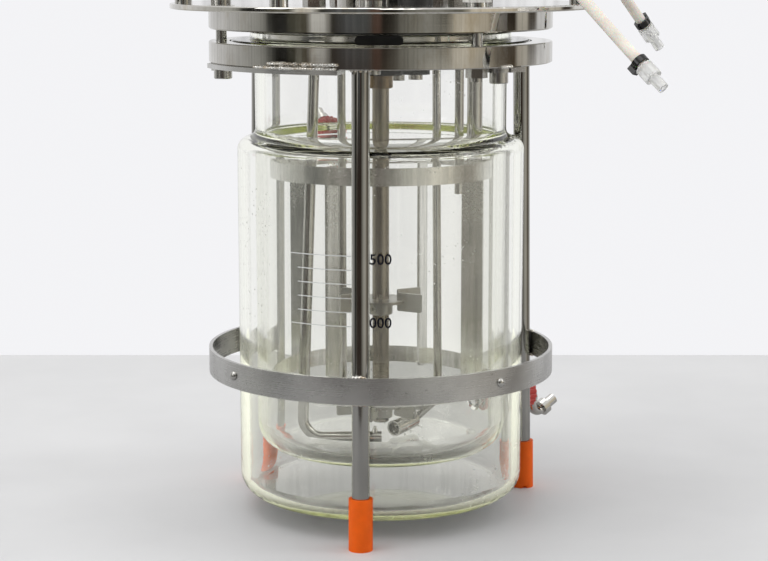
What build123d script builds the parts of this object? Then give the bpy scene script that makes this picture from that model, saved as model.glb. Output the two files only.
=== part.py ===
"""Bench bioreactor: a three-litre jacketed glass vessel hung in a three-legged steel stand.

Millimetres. The origin is on the vessel's axis at the surface that the feet stand on, +Z up,
and -Y is the front. Azimuths are degrees from +X, counted towards +Y. Every piece of the
object is one file in parts/.
"""
import os
from math import atan2, cos, degrees, pi, radians, sin, sqrt, tan

from build123d import *

FIXED_FIT = 0.02            # radial gap of two round pieces that don't turn in each other
FAR = 400.0                 # well outside the object, for cutting shapes

# ---------------------------------------------------------------- glass vessel
VESSEL_OD = 140.0           # inner tube and neck, standard borosilicate tube
VESSEL_WALL = 5.0
JACKET_GAP = 5.0            # water space round the inner tube
JACKET_WALL = 5.0
JACKET_BASE_Z = 9.5         # underside of the jacket
JACKET_CORNER = 12.0
VESSEL_BASE_Z = 36.0        # underside of the inner vessel
VESSEL_CORNER = 16.0
SHOULDER_Z = 210.0          # where the jacket starts to close in on the neck
SHOULDER_RISE = 3.2
SHOULDER_ROUND = 7.0
FLARE_ROUND = 4.5
LIP_WIDTH = 13.0            # ground flange that the clamp ring carries, beyond the neck
LIP_THICKNESS = 6.8
LIP_TOP_Z = 265.5
LAND_WIDTH = 7.4            # raised sealing land on the flange
LAND_HEIGHT = 4.8

# ---------------------------------------------------------------- lid
LID_GASKET_THICKNESS = 1.3
HEAD_PLATE_THICKNESS = 10.9
SPIGOT_DEPTH = 19.6         # the part of the head plate that sinks into the neck
SPIGOT_GAP = 1.2            # radial gap between the spigot and the neck
SPIGOT_RING_SECTION = 3.5   # O-ring on the spigot
GROOVE_GAP = 0.1            # between the O-ring and its groove
TOP_DISC_OVERHANG = 21.0
TOP_DISC_THICKNESS = 3.0
PORT_CLEARANCE = 0.1

# ---------------------------------------------------------------- clamp ring and its screws
CLAMP_RING_RIM = 12.0       # round the glass flange
CLAMP_RING_FLOOR = 4.3      # under the glass flange
CLAMP_RING_HEIGHT = 11.5
CLAMP_RING_NECK_GAP = 4.0
LIP_CUSHION_THICKNESS = 1.0
LIP_CLEARANCE = 0.6
RIM_PAD_AZIMUTH = -90.5     # rubber bar lying on the flange
RIM_PAD_LENGTH = 25.0
RIM_PAD_DEPTH = 9.0
RIM_PAD_HEIGHT = 4.8
BOLT_INSET = 7.0            # from the clamp ring's rim
BOLT_AZIMUTHS = {"left": -175.5, "front": -55.5, "rear": 64.5}
BOLT_DIA = 6.0
BOLT_HOLE_CLEARANCE = 0.3
THREAD_CLEARANCE = 0.05
BOLT_COLLAR_OD = 11.3
BOLT_COLLAR_HEIGHT = 1.8
KNOB_OD = 15.0
KNOB_HEIGHT = 9.0
KNOB_FLUTES = 12
KNOB_FLUTE = (2.4, 0.6)     # diameter, and how far its centre stands off the knob
KNOB_ROOF = 2.4
NUT_ACROSS_FLATS = 10.0
NUT_HEIGHT = 5.0

# ---------------------------------------------------------------- stand
LEG_AZIMUTHS = {"front": -96.6, "right": 23.4, "left": 143.4}
LEG_DIA = 9.5
LEG_INSET = 7.25            # from the clamp ring's rim
LEG_SPLAY = 3.8             # how far the foot stands out beyond the head
TAB_THICKNESS = 2.5
TAB_OVERHANG = 2.2          # beyond the clamp ring's rim
TAB_WIDTH = 15.2
TAB_SCREW_INSET = 6.4
TAB_END_R = 7.6
TAB_SPANS = ((-165.6, -103.1), (-45.6, -38.5), (74.4, 136.9))   # cap screw, far end
SCREW_HEAD_DIA = 10.0
SCREW_HEAD_HEIGHT = 6.0
SCREW_SOCKET = 5.0
SCREW_REACH = 7.5           # thread length inside the clamp ring
SCREW_END_GAP = 0.5
SCREW_PLATE_GAP = 0.2
FOOT_FLOOR = 1.5
FOOT_WALL = 1.7
FOOT_HEIGHT = 28.0
FOOT_TEAR = (3.0, 3.0, 3.2)     # torn bit at the front of the right foot
HOOP_BOTTOM_Z = 79.7
HOOP_HEIGHT = 14.2
HOOP_THICKNESS = 2.0
HOOP_LEG_GAP = 0.1
HOOP_OVERRUN = 5.0          # past the two rear legs, between which the hoop is open
HOOP_RIVET_AZIMUTHS = (-144.8, -48.9)
HOOP_RIVET_DIA = 5.2        # domed head
HOOP_RIVET_FLATTENING = 0.75
HOOP_RIVET_SHANK = 3.1
HOOP_RIVET_BACK = (4.4, 0.8)    # diameter and thickness of the closed end

# ---------------------------------------------------------------- baffle cage
CAGE_WALL_GAP = 3.0         # between the cage and the glass
CAGE_RING_THICKNESS = 1.2
CAGE_RING_HEIGHT = 9.5
CAGE_LOWER_Z = 71.2
CAGE_UPPER_Z = 190.8
CAGE_CLIP_INSET = 2.0
CAGE_CLIP_WALL = 1.2
CAGE_CLIP_MOUTH = 0.62      # of the bore
CAGE_CLIP_BRIDGE = 4.0
BAFFLE_WIDTH = 11.3
BAFFLE_THICKNESS = 1.5
BAFFLE_CORNER = 4.0
BAFFLE_FIRST_AZIMUTH = -117.3
BAFFLE_COUNT = 4
BAFFLE_SEAM = 0.12          # between a baffle's edge and the ring it is welded to

# ---------------------------------------------------------------- stirrer
SHAFT_DIA = 9.5
SHAFT_BOTTOM_Z = 49.0
SHAFT_STUB_STEP = 0.75      # turned down above the drive hub
SHAFT_STUB_LENGTH = 13.5
RUNNING_CLEARANCE = 0.04
IMPELLER_DIA = 52.0
HUB_WALL = 2.05
HUB_HEIGHT = 7.2
IMPELLER_DISC_DIA = 30.6
IMPELLER_DISC_THICKNESS = 1.5
BLADE_LENGTH = 15.0
BLADE_HEIGHT = 10.3
BLADE_THICKNESS = 1.5
BLADES = 6
UPPER_IMPELLER = {"z": 111.2, "first_azimuth": -90.0}
LOWER_IMPELLER = {"z": 51.4, "first_azimuth": -43.0}
GRUB_DIA = 4.0
GRUB_LENGTH = 2.6
GRUB_AZIMUTH = -125.0
GRUB_SOCKET = (2.0, 1.6)    # across flats and depth

# ---------------------------------------------------------------- drive
SEAL_OD = 26.0
SEAL_HEIGHT = 6.2
BUSH_WALL = 2.1
BUSH_HEIGHT = 7.4
BEARING_SECTION = 6.35
BEARING_WIDTH = 7.1
BEARING_SHOULDER = 1.8
BEARING_RACES = (2.0, 1.75, 0.5)    # inner and outer race, depth of the shield
HOUSING_WALL = 5.9
HOUSING_HEIGHT = 34.0
HOUSING_FLANGE_WIDTH = 7.0
HOUSING_FLANGE_THICKNESS = 5.0
HOUSING_SCREW_OFFSET = 3.0  # from the housing's side
HOUSING_SCREWS = 4
HOUSING_SCREW_DIA = 3.2
HOUSING_SCREW_HEAD = (5.5, 3.0)     # diameter and height
HOUSING_SCREW_SOCKET = (2.5, 1.6)   # across flats and depth
OPEN_BORE_GAP = 0.75        # round the shaft where nothing guides it
COVER_THICKNESS = 3.0
DRIVE_HUB_WALL = 6.25
DRIVE_HUB_HEIGHT = 15.0
DRIVE_HUB_LIFT = 1.0
DRIVE_HUB_SLOT = (4.0, 4.0)     # width and depth

# ---------------------------------------------------------------- tubes through the lid
SPARGER = {"x": -36.2, "y": -17.0, "od": 6.0, "bore": 4.0}
DIP_TUBE = {"x": -22.9, "y": 34.0, "od": 5.0, "bore": 3.4}
SAMPLE_TUBE = {"x": 32.0, "y": 24.0, "od": 5.0, "bore": 2.8}
FEED_TUBE = {"x": 43.3, "y": -9.0, "od": 5.0, "bore": 2.8}
THERMOWELL = {"x": 53.0, "y": 4.0, "od": 9.0, "bore": 6.4}
SPARGER_LEAN = (-7.1, -1.0)     # how far its lower end stands off its port
SPARGER_BEND = 11.0
SPARGER_FLOOR_GAP = 0.3
SPARGER_REACH = 0.5             # x where the foot of the pipe ends
SPARGER_NOZZLE_X = -3.3
SPARGER_NOZZLE = (2.6, 0.8, 3.0, 1.0)   # base and tip radius, height over the pipe, bore
SPARGER_PLUG = 1.5
LONG_BEND = 60.0
DIP_TUBE_END_Z = 66.0
FEED_TUBE_END_Z = 180.6
THERMOWELL_END_Z = 64.0
SAMPLE_KNEE = (33.2, 12.0, 60.0)
SAMPLE_SLEEVE_BACK = (18.8, 9.5, 47.7)
SAMPLE_SLEEVE_MOUTH = (7.4, -6.4, 46.1)
SAMPLE_SLEEVE_OD = 9.2
SAMPLE_SLEEVE_WALL = 1.0
SAMPLE_SLEEVE_SOCKET = 6.0
SAMPLE_BENDS = (12.0, 5.0)
TUBE_RISE = 26.5                # over the deck
TUBE_END_LENGTH = 14.0          # turned down at the open upper end
TUBE_END_STEP = 0.5
THERMOWELL_RISE = 21.5
THERMOWELL_RIM = (2.0, 2.0)     # width and thickness
THERMOWELL_SOLE = 2.5
BARB_RISE = 11.5                # over the deck
BARB_LENGTH = 15.0
BARB_OD = 4.4
BARB_BORE = 2.0
BARB_STEP = 0.4
BARB_ROOT = 2.0
BARB_RINGS = 3
GLAND_BODY_HEIGHT = 4.0
GLAND_NUT_HEIGHT = 5.5
GLAND_RING_HEIGHT = 0.6
GLAND_FLATS = 11.0
GLAND_NUT_SQUEEZE = 0.4
GLAND_NUT_TURN = 20.0
THERMOWELL_FLATS = 16.0
PLUGS = ((-4.0, -36.0, 4.0), (10.0, 37.0, 11.7))    # place, and reach below the spigot
PLUG_FLATS = 12.0
PLUG_HEAD_HEIGHT = 7.0
PLUG_COLLAR = (15.0, 2.0)   # diameter and thickness
PLUG_SHANK_DIA = 8.0
BUNG = (18.6, -36.0)
BUNG_DIA = 15.0
BUNG_DROP = 3.8             # below the spigot
BUNG_HEAD_DIA = 19.0
BUNG_HEAD_HEIGHT = 6.0
BUNG_TUBE_DIA = 7.6
BUNG_TUBE_WALL = 1.0
BUNG_TUBE_DROP = 6.6
BUNG_TUBE_RISE = 17.5

# ---------------------------------------------------------------- lifting handles
HANDLE_DIA = 9.6
HANDLE_INSET = 7.0          # from the top disc's rim
HANDLE_HEIGHT = 36.0
HANDLE_BEND = 12.0
HANDLES = ((180.0, -118.0), (0.0, 62.0))    # azimuths of the two feet of each

# ---------------------------------------------------------------- jacket ports
NIPPLE_OD = 12.0
NIPPLE_BORE = 8.0
THREAD_OD = 13.6
THREAD_LENGTH = 11.0
CAP_OD = 20.0
CAP_LENGTH = 17.0
CAP_END = 2.2
CAP_RIBS = 20
CAP_GROOVE = (1.8, 0.35)    # diameter, and how far its centre stands off the cap
CAP_CLEARANCE = 0.3
SEAL_THICKNESS = 2.0
STEM_OD = 6.5
STEM_BORE = 4.5
STEM_FLANGE_DIA = 12.4
STEM_FLANGE_THICKNESS = 2.5
STEM_HOLE_CLEARANCE = 1.5
LOWER_PORT = {"azimuth": 37.0, "sink": 2.0, "z": 51.0, "tilt": 0.0, "reach": 25.0}
UPPER_PORT = {"azimuth": 111.0, "sink": 3.0, "z": 193.8, "tilt": 30.0, "reach": 20.0}
LOWER_STEM_ROUTE = ((11.0, 0.0), (8.5, -17.0), (27.0, -7.5))    # out and up from the seal's face
LOWER_STEM_BEND = 5.0
STEM_COLLAR_OD = 10.0
STEM_COLLAR_LENGTH = 4.0
STEM_TIP = (7.0, 8.0)       # hose seat beyond the collar: lower, upper
UPPER_STEM_LENGTH = 24.0

# ---------------------------------------------------------------- silicone hoses
HOSE_DIA = 6.0
AIR_HOSE = [
    (-36.2, -17.0, 297.0),
    (-36.2, -17.0, 340.2),
    (-4.9, -27.5, 369.8),
    (37.5, -41.8, 367.5),
    (81.8, -56.7, 316.7),
    (110.6, -78.0, 281.4),
    (133.1, -100.0, 255.5),
]
VENT_HOSE = [
    (-22.9, 34.0, 297.0),
    (-22.9, 34.0, 349.6),
    (18.1, 32.6, 386.3),
    (72.7, 30.4, 380.1),
    (99.6, 28.0, 343.8),
    (126.0, 33.0, 305.4),
    (152.8, 47.0, 270.3),
]
TIE_WIDTH = 3.4
TIE_THICKNESS = 1.5
TIE_SETBACK = 1.6
TIE_HEAD = 4.6
TIE_HEAD_RISE = 3.4
AIR_TIE_TURN = 200.0
VENT_TIE_TURN = -60.0
LUER_COLLAR_DIA = 9.4
LUER_COLLAR_LENGTH = 8.0
LUER_WING = (1.2, 2.4, 4.0)     # overhang, thickness and length
LUER_TIP_DIA = 5.8
LUER_BORE = 3.0
LUER_LENGTH = 16.0

# ---------------------------------------------------------------- places worked out from these
JACKET_OD = VESSEL_OD + 2 * (JACKET_GAP + JACKET_WALL)
NECK_R = VESSEL_OD / 2 - VESSEL_WALL
LIP_OD = VESSEL_OD + 2 * LIP_WIDTH
LAND_OD = 2 * (NECK_R + LAND_WIDTH)
LAND_TOP_Z = LIP_TOP_Z + LAND_HEIGHT
HEAD_PLATE_BOTTOM_Z = LAND_TOP_Z + LID_GASKET_THICKNESS
TOP_DISC_BOTTOM_Z = HEAD_PLATE_BOTTOM_Z + HEAD_PLATE_THICKNESS
DECK_Z = TOP_DISC_BOTTOM_Z + TOP_DISC_THICKNESS
SPIGOT_BOTTOM_Z = HEAD_PLATE_BOTTOM_Z - SPIGOT_DEPTH
LIP_BOTTOM_Z = LIP_TOP_Z - LIP_THICKNESS
CLAMP_RING_OD = LIP_OD + 2 * CLAMP_RING_RIM
CLAMP_RING_BORE = VESSEL_OD + 2 * CLAMP_RING_NECK_GAP
CLAMP_RING_BOTTOM_Z = LIP_BOTTOM_Z - LIP_CUSHION_THICKNESS - CLAMP_RING_FLOOR
CLAMP_RING_TOP_Z = CLAMP_RING_BOTTOM_Z + CLAMP_RING_HEIGHT
HEAD_PLATE_OD = CLAMP_RING_OD
TOP_DISC_OD = HEAD_PLATE_OD + 2 * TOP_DISC_OVERHANG
BOLT_CIRCLE_R = CLAMP_RING_OD / 2 - BOLT_INSET
LEG_TOP_R = CLAMP_RING_OD / 2 - LEG_INSET
LEG_FOOT_R = LEG_TOP_R + LEG_SPLAY
TAB_OUTER_R = CLAMP_RING_OD / 2 + TAB_OVERHANG
TAB_INNER_R = TAB_OUTER_R - TAB_WIDTH
TAB_SCREW_R = CLAMP_RING_OD / 2 - TAB_SCREW_INSET
TAB_BOTTOM_Z = CLAMP_RING_BOTTOM_Z - TAB_THICKNESS
FLOOR_Z = VESSEL_BASE_Z + VESSEL_WALL
CAGE_RING_OD = 2 * (NECK_R - CAGE_WALL_GAP)
CAGE_RING_BORE_R = CAGE_RING_OD / 2 - CAGE_RING_THICKNESS
HUB_DIA = SHAFT_DIA + 2 * HUB_WALL
SEAL_BOTTOM_Z = SPIGOT_BOTTOM_Z - SEAL_HEIGHT
BUSH_OD = SHAFT_DIA + 2 * BUSH_WALL
BEARING_OD = SHAFT_DIA + 2 * BEARING_SECTION
HOUSING_OD = BEARING_OD + 2 * HOUSING_WALL
DRIVE_HUB_OD = SHAFT_DIA + 2 * DRIVE_HUB_WALL
DRIVE_HUB_BOTTOM_Z = DECK_Z + HOUSING_HEIGHT + COVER_THICKNESS + DRIVE_HUB_LIFT
DRIVE_HUB_TOP_Z = DRIVE_HUB_BOTTOM_Z + DRIVE_HUB_HEIGHT
TUBE_TOP_Z = DECK_Z + TUBE_RISE
BARB_BASE_Z = DECK_Z + BARB_RISE
HANDLE_R = TOP_DISC_OD / 2 - HANDLE_INSET
GROOVE_Z = (SPIGOT_BOTTOM_Z + HEAD_PLATE_BOTTOM_Z) / 2
SMALL_TUBES = (SPARGER, DIP_TUBE, SAMPLE_TUBE, FEED_TUBE)


# ================================================================ helpers
def polar(radius, azimuth, z=0.0):
    """Point at a radius and azimuth round the vessel's axis."""
    return Vector(radius * cos(radians(azimuth)), radius * sin(radians(azimuth)), z)


def disc(dia, z0, z1, x=0.0, y=0.0):
    """Upright cylinder between two heights."""
    return Pos(x, y, z0) * Cylinder(dia / 2, z1 - z0, align=(Align.CENTER, Align.CENTER, Align.MIN))


def ring(bore, dia, z0, z1, x=0.0, y=0.0):
    """Upright tube between two heights."""
    return disc(dia, z0, z1, x, y) - disc(bore, z0 - 1, z1 + 1, x, y)


def hexagon(across_flats, z0, z1, x=0.0, y=0.0):
    """Upright hexagonal prism."""
    prism = extrude(RegularPolygon(across_flats / sqrt(3), 6), z1 - z0)
    return Pos(x, y, z0) * prism


def rod(start, end, dia):
    """Round bar from point to point."""
    axis = Vector(end) - Vector(start)
    bar = Cylinder(dia / 2, axis.length, align=(Align.CENTER, Align.CENTER, Align.MIN))
    return Plane(origin=start, z_dir=axis).location * bar


def turned(points, radii=None):
    """Solid of revolution from an outline of (radius, height) points, closed along the axis."""
    if radii is None:
        edges = Polyline(*[(r, 0, z) for r, z in points])
    else:
        edges = FilletPolyline(*[(r, 0, z) for r, z in points], radius=radii)
    closing = Line((points[-1][0], 0, points[-1][1]), (points[0][0], 0, points[0][1]))
    return revolve(make_face(edges.edges() + [closing]), Axis.Z)


def pipe(path, od, bore=None):
    """Tube or bar along a path of lines and arcs."""
    section = Circle(od / 2)
    if bore:
        section -= Circle(bore / 2)
    return sweep((path ^ 0) * section, path)


def group(solids):
    """Several separate solids in one node."""
    return Compound(children=list(solids))


def round_pattern(count, first=0.0):
    """Azimuths spaced evenly round a circle."""
    return [first + 360.0 * step / count for step in range(count)]


def level_slab(z0, z1):
    return Pos(0, 0, z0) * Box(FAR, FAR, z1 - z0, align=(Align.CENTER, Align.CENTER, Align.MIN))


def clean_bar(a, b, dia, z0, z1):
    """Slanting round bar through two points, cut level at two heights."""
    a, b = Vector(a), Vector(b)
    along = (b - a).normalized()
    return rod(a - along * dia, b + along * dia, dia) & level_slab(z0, z1)


def sector(start, end):
    """Flat wedge between two azimuths, less than half a turn apart."""
    middle = (start + end) / 2
    corners = ((0, 0), polar(FAR, start), polar(FAR, middle), polar(FAR, end), (0, 0))
    return make_face(Polyline(*corners))


def rims_of(body, dia):
    """Circular edges of one diameter, lowest first."""
    circles = body.edges().filter_by(GeomType.CIRCLE)
    return circles.filter_by(lambda edge: abs(edge.radius - dia / 2) < 0.01).sort_by(Axis.Z)


def sizes_of(tube):
    return tube["x"], tube["y"], tube["od"], tube["bore"]


# ================================================================ glass
def port_radius(port):
    """Radius at which a jacket port has its root, a little inside the jacket."""
    return JACKET_OD / 2 - port["sink"]


def port_frame(port):
    """Frame of a jacket port: origin at its root, z along it, away from the vessel."""
    outward = polar(cos(radians(port["tilt"])), port["azimuth"], sin(radians(port["tilt"])))
    root = polar(port_radius(port), port["azimuth"], port["z"])
    return Plane(origin=root, z_dir=outward).location


def nipple(port):
    """Glass side neck with its thread band, as a solid bar."""
    reach = port["reach"]
    bar = disc(NIPPLE_OD, 0, reach - THREAD_LENGTH)
    root = turned([(0, 0), (NIPPLE_OD / 2 + 3, 0), (NIPPLE_OD / 2, 6.0), (0, 6.0)])
    thread = disc(THREAD_OD, reach - THREAD_LENGTH, reach)
    return port_frame(port) * (bar + root + thread)


def nipple_bore(port):
    return port_frame(port) * disc(NIPPLE_BORE, -5.0, port["reach"] + 1)


def glass_vessel():
    """Inner vessel, jacket and flanged neck blown as one piece, with two side necks."""
    outer = JACKET_OD / 2
    neck = VESSEL_OD / 2
    lip = LIP_OD / 2
    land = LAND_OD / 2
    outline = [
        (0, JACKET_BASE_Z),
        (outer, JACKET_BASE_Z),
        (outer, SHOULDER_Z),
        (neck, SHOULDER_Z + SHOULDER_RISE),
        (neck, LIP_BOTTOM_Z),
        (lip, LIP_BOTTOM_Z),
        (lip, LIP_TOP_Z),
        (land, LIP_TOP_Z),
        (land, LAND_TOP_Z),
        (NECK_R, LAND_TOP_Z),
        (NECK_R, FLOOR_Z),
        (0, FLOOR_Z),
    ]
    rounds = [JACKET_CORNER, SHOULDER_ROUND, FLARE_ROUND, 2.0, 1.5, 1.5, 1.0, 1.0, 1.0,
              VESSEL_CORNER - VESSEL_WALL + 1.0]
    body = turned(outline, rounds)
    slope = SHOULDER_RISE / (outer - neck)
    lean = sqrt(1 + slope * slope)
    roof = SHOULDER_Z - JACKET_WALL * lean + slope * JACKET_WALL
    space = [
        (0, JACKET_BASE_Z + JACKET_WALL),
        (outer - JACKET_WALL, JACKET_BASE_Z + JACKET_WALL),
        (outer - JACKET_WALL, roof),
        (neck, roof + slope * (outer - JACKET_WALL - neck)),
        (neck, VESSEL_BASE_Z),
        (0, VESSEL_BASE_Z),
    ]
    jacket_space = turned(space, [JACKET_CORNER - JACKET_WALL, 3.0, 0.8, VESSEL_CORNER])
    for port in (LOWER_PORT, UPPER_PORT):
        body += nipple(port) - disc(VESSEL_OD + 2, 0, SHOULDER_Z)
    body -= jacket_space
    for port in (LOWER_PORT, UPPER_PORT):
        body -= nipple_bore(port)
    return body


# ================================================================ jacket fittings
def port_cap(port):
    """Ribbed screw cap that turns on the glass thread and holds the hose stem."""
    reach = port["reach"]
    top = reach + SEAL_THICKNESS + STEM_FLANGE_THICKNESS + CAP_CLEARANCE + CAP_END
    cap = disc(CAP_OD, top - CAP_LENGTH, top)
    cap -= disc(THREAD_OD + 2 * CAP_CLEARANCE, top - CAP_LENGTH - 1, top - CAP_END)
    cap -= disc(STEM_OD + 2 * STEM_HOLE_CLEARANCE, top - CAP_END - 1, top + 1)
    groove, offset = CAP_GROOVE
    for azimuth in round_pattern(CAP_RIBS):
        edge = polar(CAP_OD / 2 + offset, azimuth)
        cap -= disc(groove, top - CAP_LENGTH + 2, top + 1, edge.X, edge.Y)
    return port_frame(port) * cap


def port_seal(port):
    reach = port["reach"]
    return port_frame(port) * ring(STEM_BORE + 2, STEM_FLANGE_DIA, reach, reach + SEAL_THICKNESS)


def stem_flange(port):
    base = port["reach"] + SEAL_THICKNESS
    return port_frame(port) * disc(STEM_FLANGE_DIA, base, base + STEM_FLANGE_THICKNESS)


def lower_stem():
    """Swan-necked steel hose stem of the lower port."""
    port = LOWER_PORT
    face_r = port_radius(port) + port["reach"] + SEAL_THICKNESS
    start = polar(face_r, port["azimuth"], port["z"])
    corners = [polar(face_r + out, port["azimuth"], port["z"] + up) for out, up in LOWER_STEM_ROUTE]
    path = FilletPolyline(start, *corners, radius=LOWER_STEM_BEND)
    stem = pipe(path, STEM_OD) + stem_flange(port)
    run = (corners[2] - corners[1]).normalized()
    collar_end = corners[2] - run * STEM_TIP[0]
    stem += rod(collar_end - run * STEM_COLLAR_LENGTH, collar_end, STEM_COLLAR_OD)
    return stem - pipe(path, STEM_BORE)


def upper_stem():
    """Straight steel hose stem of the upper port."""
    port = UPPER_PORT
    base = port["reach"] + SEAL_THICKNESS
    tip = base + UPPER_STEM_LENGTH
    collar_top = tip - STEM_TIP[1]
    stem = disc(STEM_OD, base, tip) + disc(STEM_COLLAR_OD, collar_top - STEM_COLLAR_LENGTH, collar_top)
    return port_frame(port) * stem + stem_flange(port) - port_frame(port) * disc(STEM_BORE, base - 1, tip + 1)


# ================================================================ clamp ring, lid and gaskets
def bolt_points():
    return {name: polar(BOLT_CIRCLE_R, azimuth) for name, azimuth in BOLT_AZIMUTHS.items()}


def tab_screw_points():
    return [polar(TAB_SCREW_R, screw) for screw, end in TAB_SPANS]


def clamp_ring():
    """Turned steel ring that carries the glass flange on a cushion."""
    body = ring(CLAMP_RING_BORE, CLAMP_RING_OD, CLAMP_RING_BOTTOM_Z, CLAMP_RING_TOP_Z)
    body -= disc(LIP_OD + 2 * LIP_CLEARANCE, LIP_BOTTOM_Z - LIP_CUSHION_THICKNESS, CLAMP_RING_TOP_Z + 1)
    for hole in rim_holes(CLAMP_RING_BOTTOM_Z - 1, CLAMP_RING_TOP_Z + 1):
        body -= hole
    thread = BOLT_DIA + 2 * THREAD_CLEARANCE
    for point in tab_screw_points():
        top = CLAMP_RING_BOTTOM_Z + SCREW_REACH + SCREW_END_GAP
        body -= disc(thread, CLAMP_RING_BOTTOM_Z - 1, top, point.X, point.Y)
    return chamfer(rims_of(body, CLAMP_RING_OD), 0.5)


def lip_cushion():
    low = LIP_BOTTOM_Z - LIP_CUSHION_THICKNESS
    return ring(CLAMP_RING_BORE, LIP_OD, low, LIP_BOTTOM_Z)


def lid_gasket():
    return ring(VESSEL_OD - 2 * VESSEL_WALL + 1.0, LAND_OD - 1.0, LAND_TOP_Z, HEAD_PLATE_BOTTOM_Z)


def rim_pad():
    """Rubber bar with rounded ends that lies on the glass flange, against its outer edge."""
    bar = SlotOverall(RIM_PAD_LENGTH, RIM_PAD_HEIGHT)
    face = polar(LIP_OD / 2, RIM_PAD_AZIMUTH, LIP_TOP_Z + RIM_PAD_HEIGHT / 2)
    inward = Plane(origin=face, x_dir=polar(1, RIM_PAD_AZIMUTH + 90), z_dir=polar(-1, RIM_PAD_AZIMUTH))
    return extrude(inward * bar, RIM_PAD_DEPTH)


def port_holes(z0, z1):
    """Every hole that passes through the lid, over a stretch of height."""
    holes = []
    for tube in (*SMALL_TUBES, THERMOWELL):
        holes.append(disc(tube["od"] + 2 * PORT_CLEARANCE, z0, z1, tube["x"], tube["y"]))
    for x, y, drop in PLUGS:
        holes.append(disc(PLUG_SHANK_DIA + 2 * PORT_CLEARANCE, z0, z1, x, y))
    holes.append(disc(BUNG_DIA + 2 * FIXED_FIT, z0, z1, *BUNG))
    holes.append(disc(SHAFT_DIA + 2 * OPEN_BORE_GAP, z0, z1))
    return holes


def rim_holes(z0, z1):
    """The holes that the clamp bolts pass through, over a stretch of height."""
    hole = BOLT_DIA + 2 * BOLT_HOLE_CLEARANCE
    return [disc(hole, z0, z1, point.X, point.Y) for point in bolt_points().values()]


def head_plate():
    """Thick lid with the spigot that centres it in the neck, and its O-ring groove."""
    spigot_dia = 2 * (NECK_R - SPIGOT_GAP)
    body = disc(HEAD_PLATE_OD, HEAD_PLATE_BOTTOM_Z, TOP_DISC_BOTTOM_Z)
    body += disc(spigot_dia, SPIGOT_BOTTOM_Z, HEAD_PLATE_BOTTOM_Z)
    body = chamfer(rims_of(body, HEAD_PLATE_OD)[0], 0.8)
    groove_bore = spigot_dia - 2 * (SPIGOT_RING_SECTION - SPIGOT_GAP) - 2 * GROOVE_GAP
    half = SPIGOT_RING_SECTION / 2 + GROOVE_GAP
    body -= ring(groove_bore, spigot_dia + 2, GROOVE_Z - half, GROOVE_Z + half)
    for hole in port_holes(SPIGOT_BOTTOM_Z - 1, TOP_DISC_BOTTOM_Z + 1):
        body -= hole
    for hole in rim_holes(HEAD_PLATE_BOTTOM_Z - 1, TOP_DISC_BOTTOM_Z + 1):
        body -= hole
    return body


def spigot_ring():
    centre_r = NECK_R - SPIGOT_RING_SECTION / 2 - FIXED_FIT
    return Pos(0, 0, GROOVE_Z) * Torus(centre_r, SPIGOT_RING_SECTION / 2)


def top_disc():
    """Thin polished plate on the head plate, wider than the rest."""
    body = disc(TOP_DISC_OD, TOP_DISC_BOTTOM_Z, DECK_Z)
    rims = body.edges().filter_by(GeomType.CIRCLE)
    body = fillet(rims, 0.8)
    for hole in port_holes(TOP_DISC_BOTTOM_Z - 1, DECK_Z + 1):
        body -= hole
    for hole in rim_holes(TOP_DISC_BOTTOM_Z - 1, DECK_Z + 1):
        body -= hole
    return body


def clamp_bolt(point):
    """Steel bolt with the knurled collar that its knob sits on."""
    bottom = CLAMP_RING_BOTTOM_Z - NUT_HEIGHT - 2.0
    top = DECK_Z + BOLT_COLLAR_HEIGHT + KNOB_HEIGHT - KNOB_ROOF - 0.1
    bolt = disc(BOLT_DIA, bottom, top, point.X, point.Y)
    return bolt + disc(BOLT_COLLAR_OD, DECK_Z, DECK_Z + BOLT_COLLAR_HEIGHT, point.X, point.Y)


def clamp_knob(point):
    """Fluted plastic knob pressed on the top of a clamp bolt."""
    low = DECK_Z + BOLT_COLLAR_HEIGHT
    knob = disc(KNOB_OD, low, low + KNOB_HEIGHT)
    rims = knob.edges().filter_by(GeomType.CIRCLE).sort_by(Axis.Z)
    knob = fillet(rims[-1], 1.5)
    flute, offset = KNOB_FLUTE
    for azimuth in round_pattern(KNOB_FLUTES):
        edge = polar(KNOB_OD / 2 + offset, azimuth)
        knob -= disc(flute, low - 1, low + KNOB_HEIGHT + 1, edge.X, edge.Y)
    knob -= disc(BOLT_DIA + 2 * THREAD_CLEARANCE, low - 1, low + KNOB_HEIGHT - KNOB_ROOF)
    return Pos(point.X, point.Y, 0) * knob


def clamp_nuts():
    low = CLAMP_RING_BOTTOM_Z - NUT_HEIGHT
    nut = hexagon(NUT_ACROSS_FLATS, low, CLAMP_RING_BOTTOM_Z)
    nut -= disc(BOLT_DIA + 2 * THREAD_CLEARANCE, low - 1, CLAMP_RING_BOTTOM_Z + 1)
    return group([Pos(point.X, point.Y, 0) * nut for point in bolt_points().values()])


# ================================================================ stand
def leg_line(azimuth):
    """Foot and head of a leg's centre line."""
    return polar(LEG_FOOT_R, azimuth, 0), polar(LEG_TOP_R, azimuth, CLAMP_RING_BOTTOM_Z)


def leg(azimuth):
    """Round bar welded under the clamp ring, cut level at both ends."""
    return clean_bar(*leg_line(azimuth), LEG_DIA, FOOT_FLOOR, CLAMP_RING_BOTTOM_Z)


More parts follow.
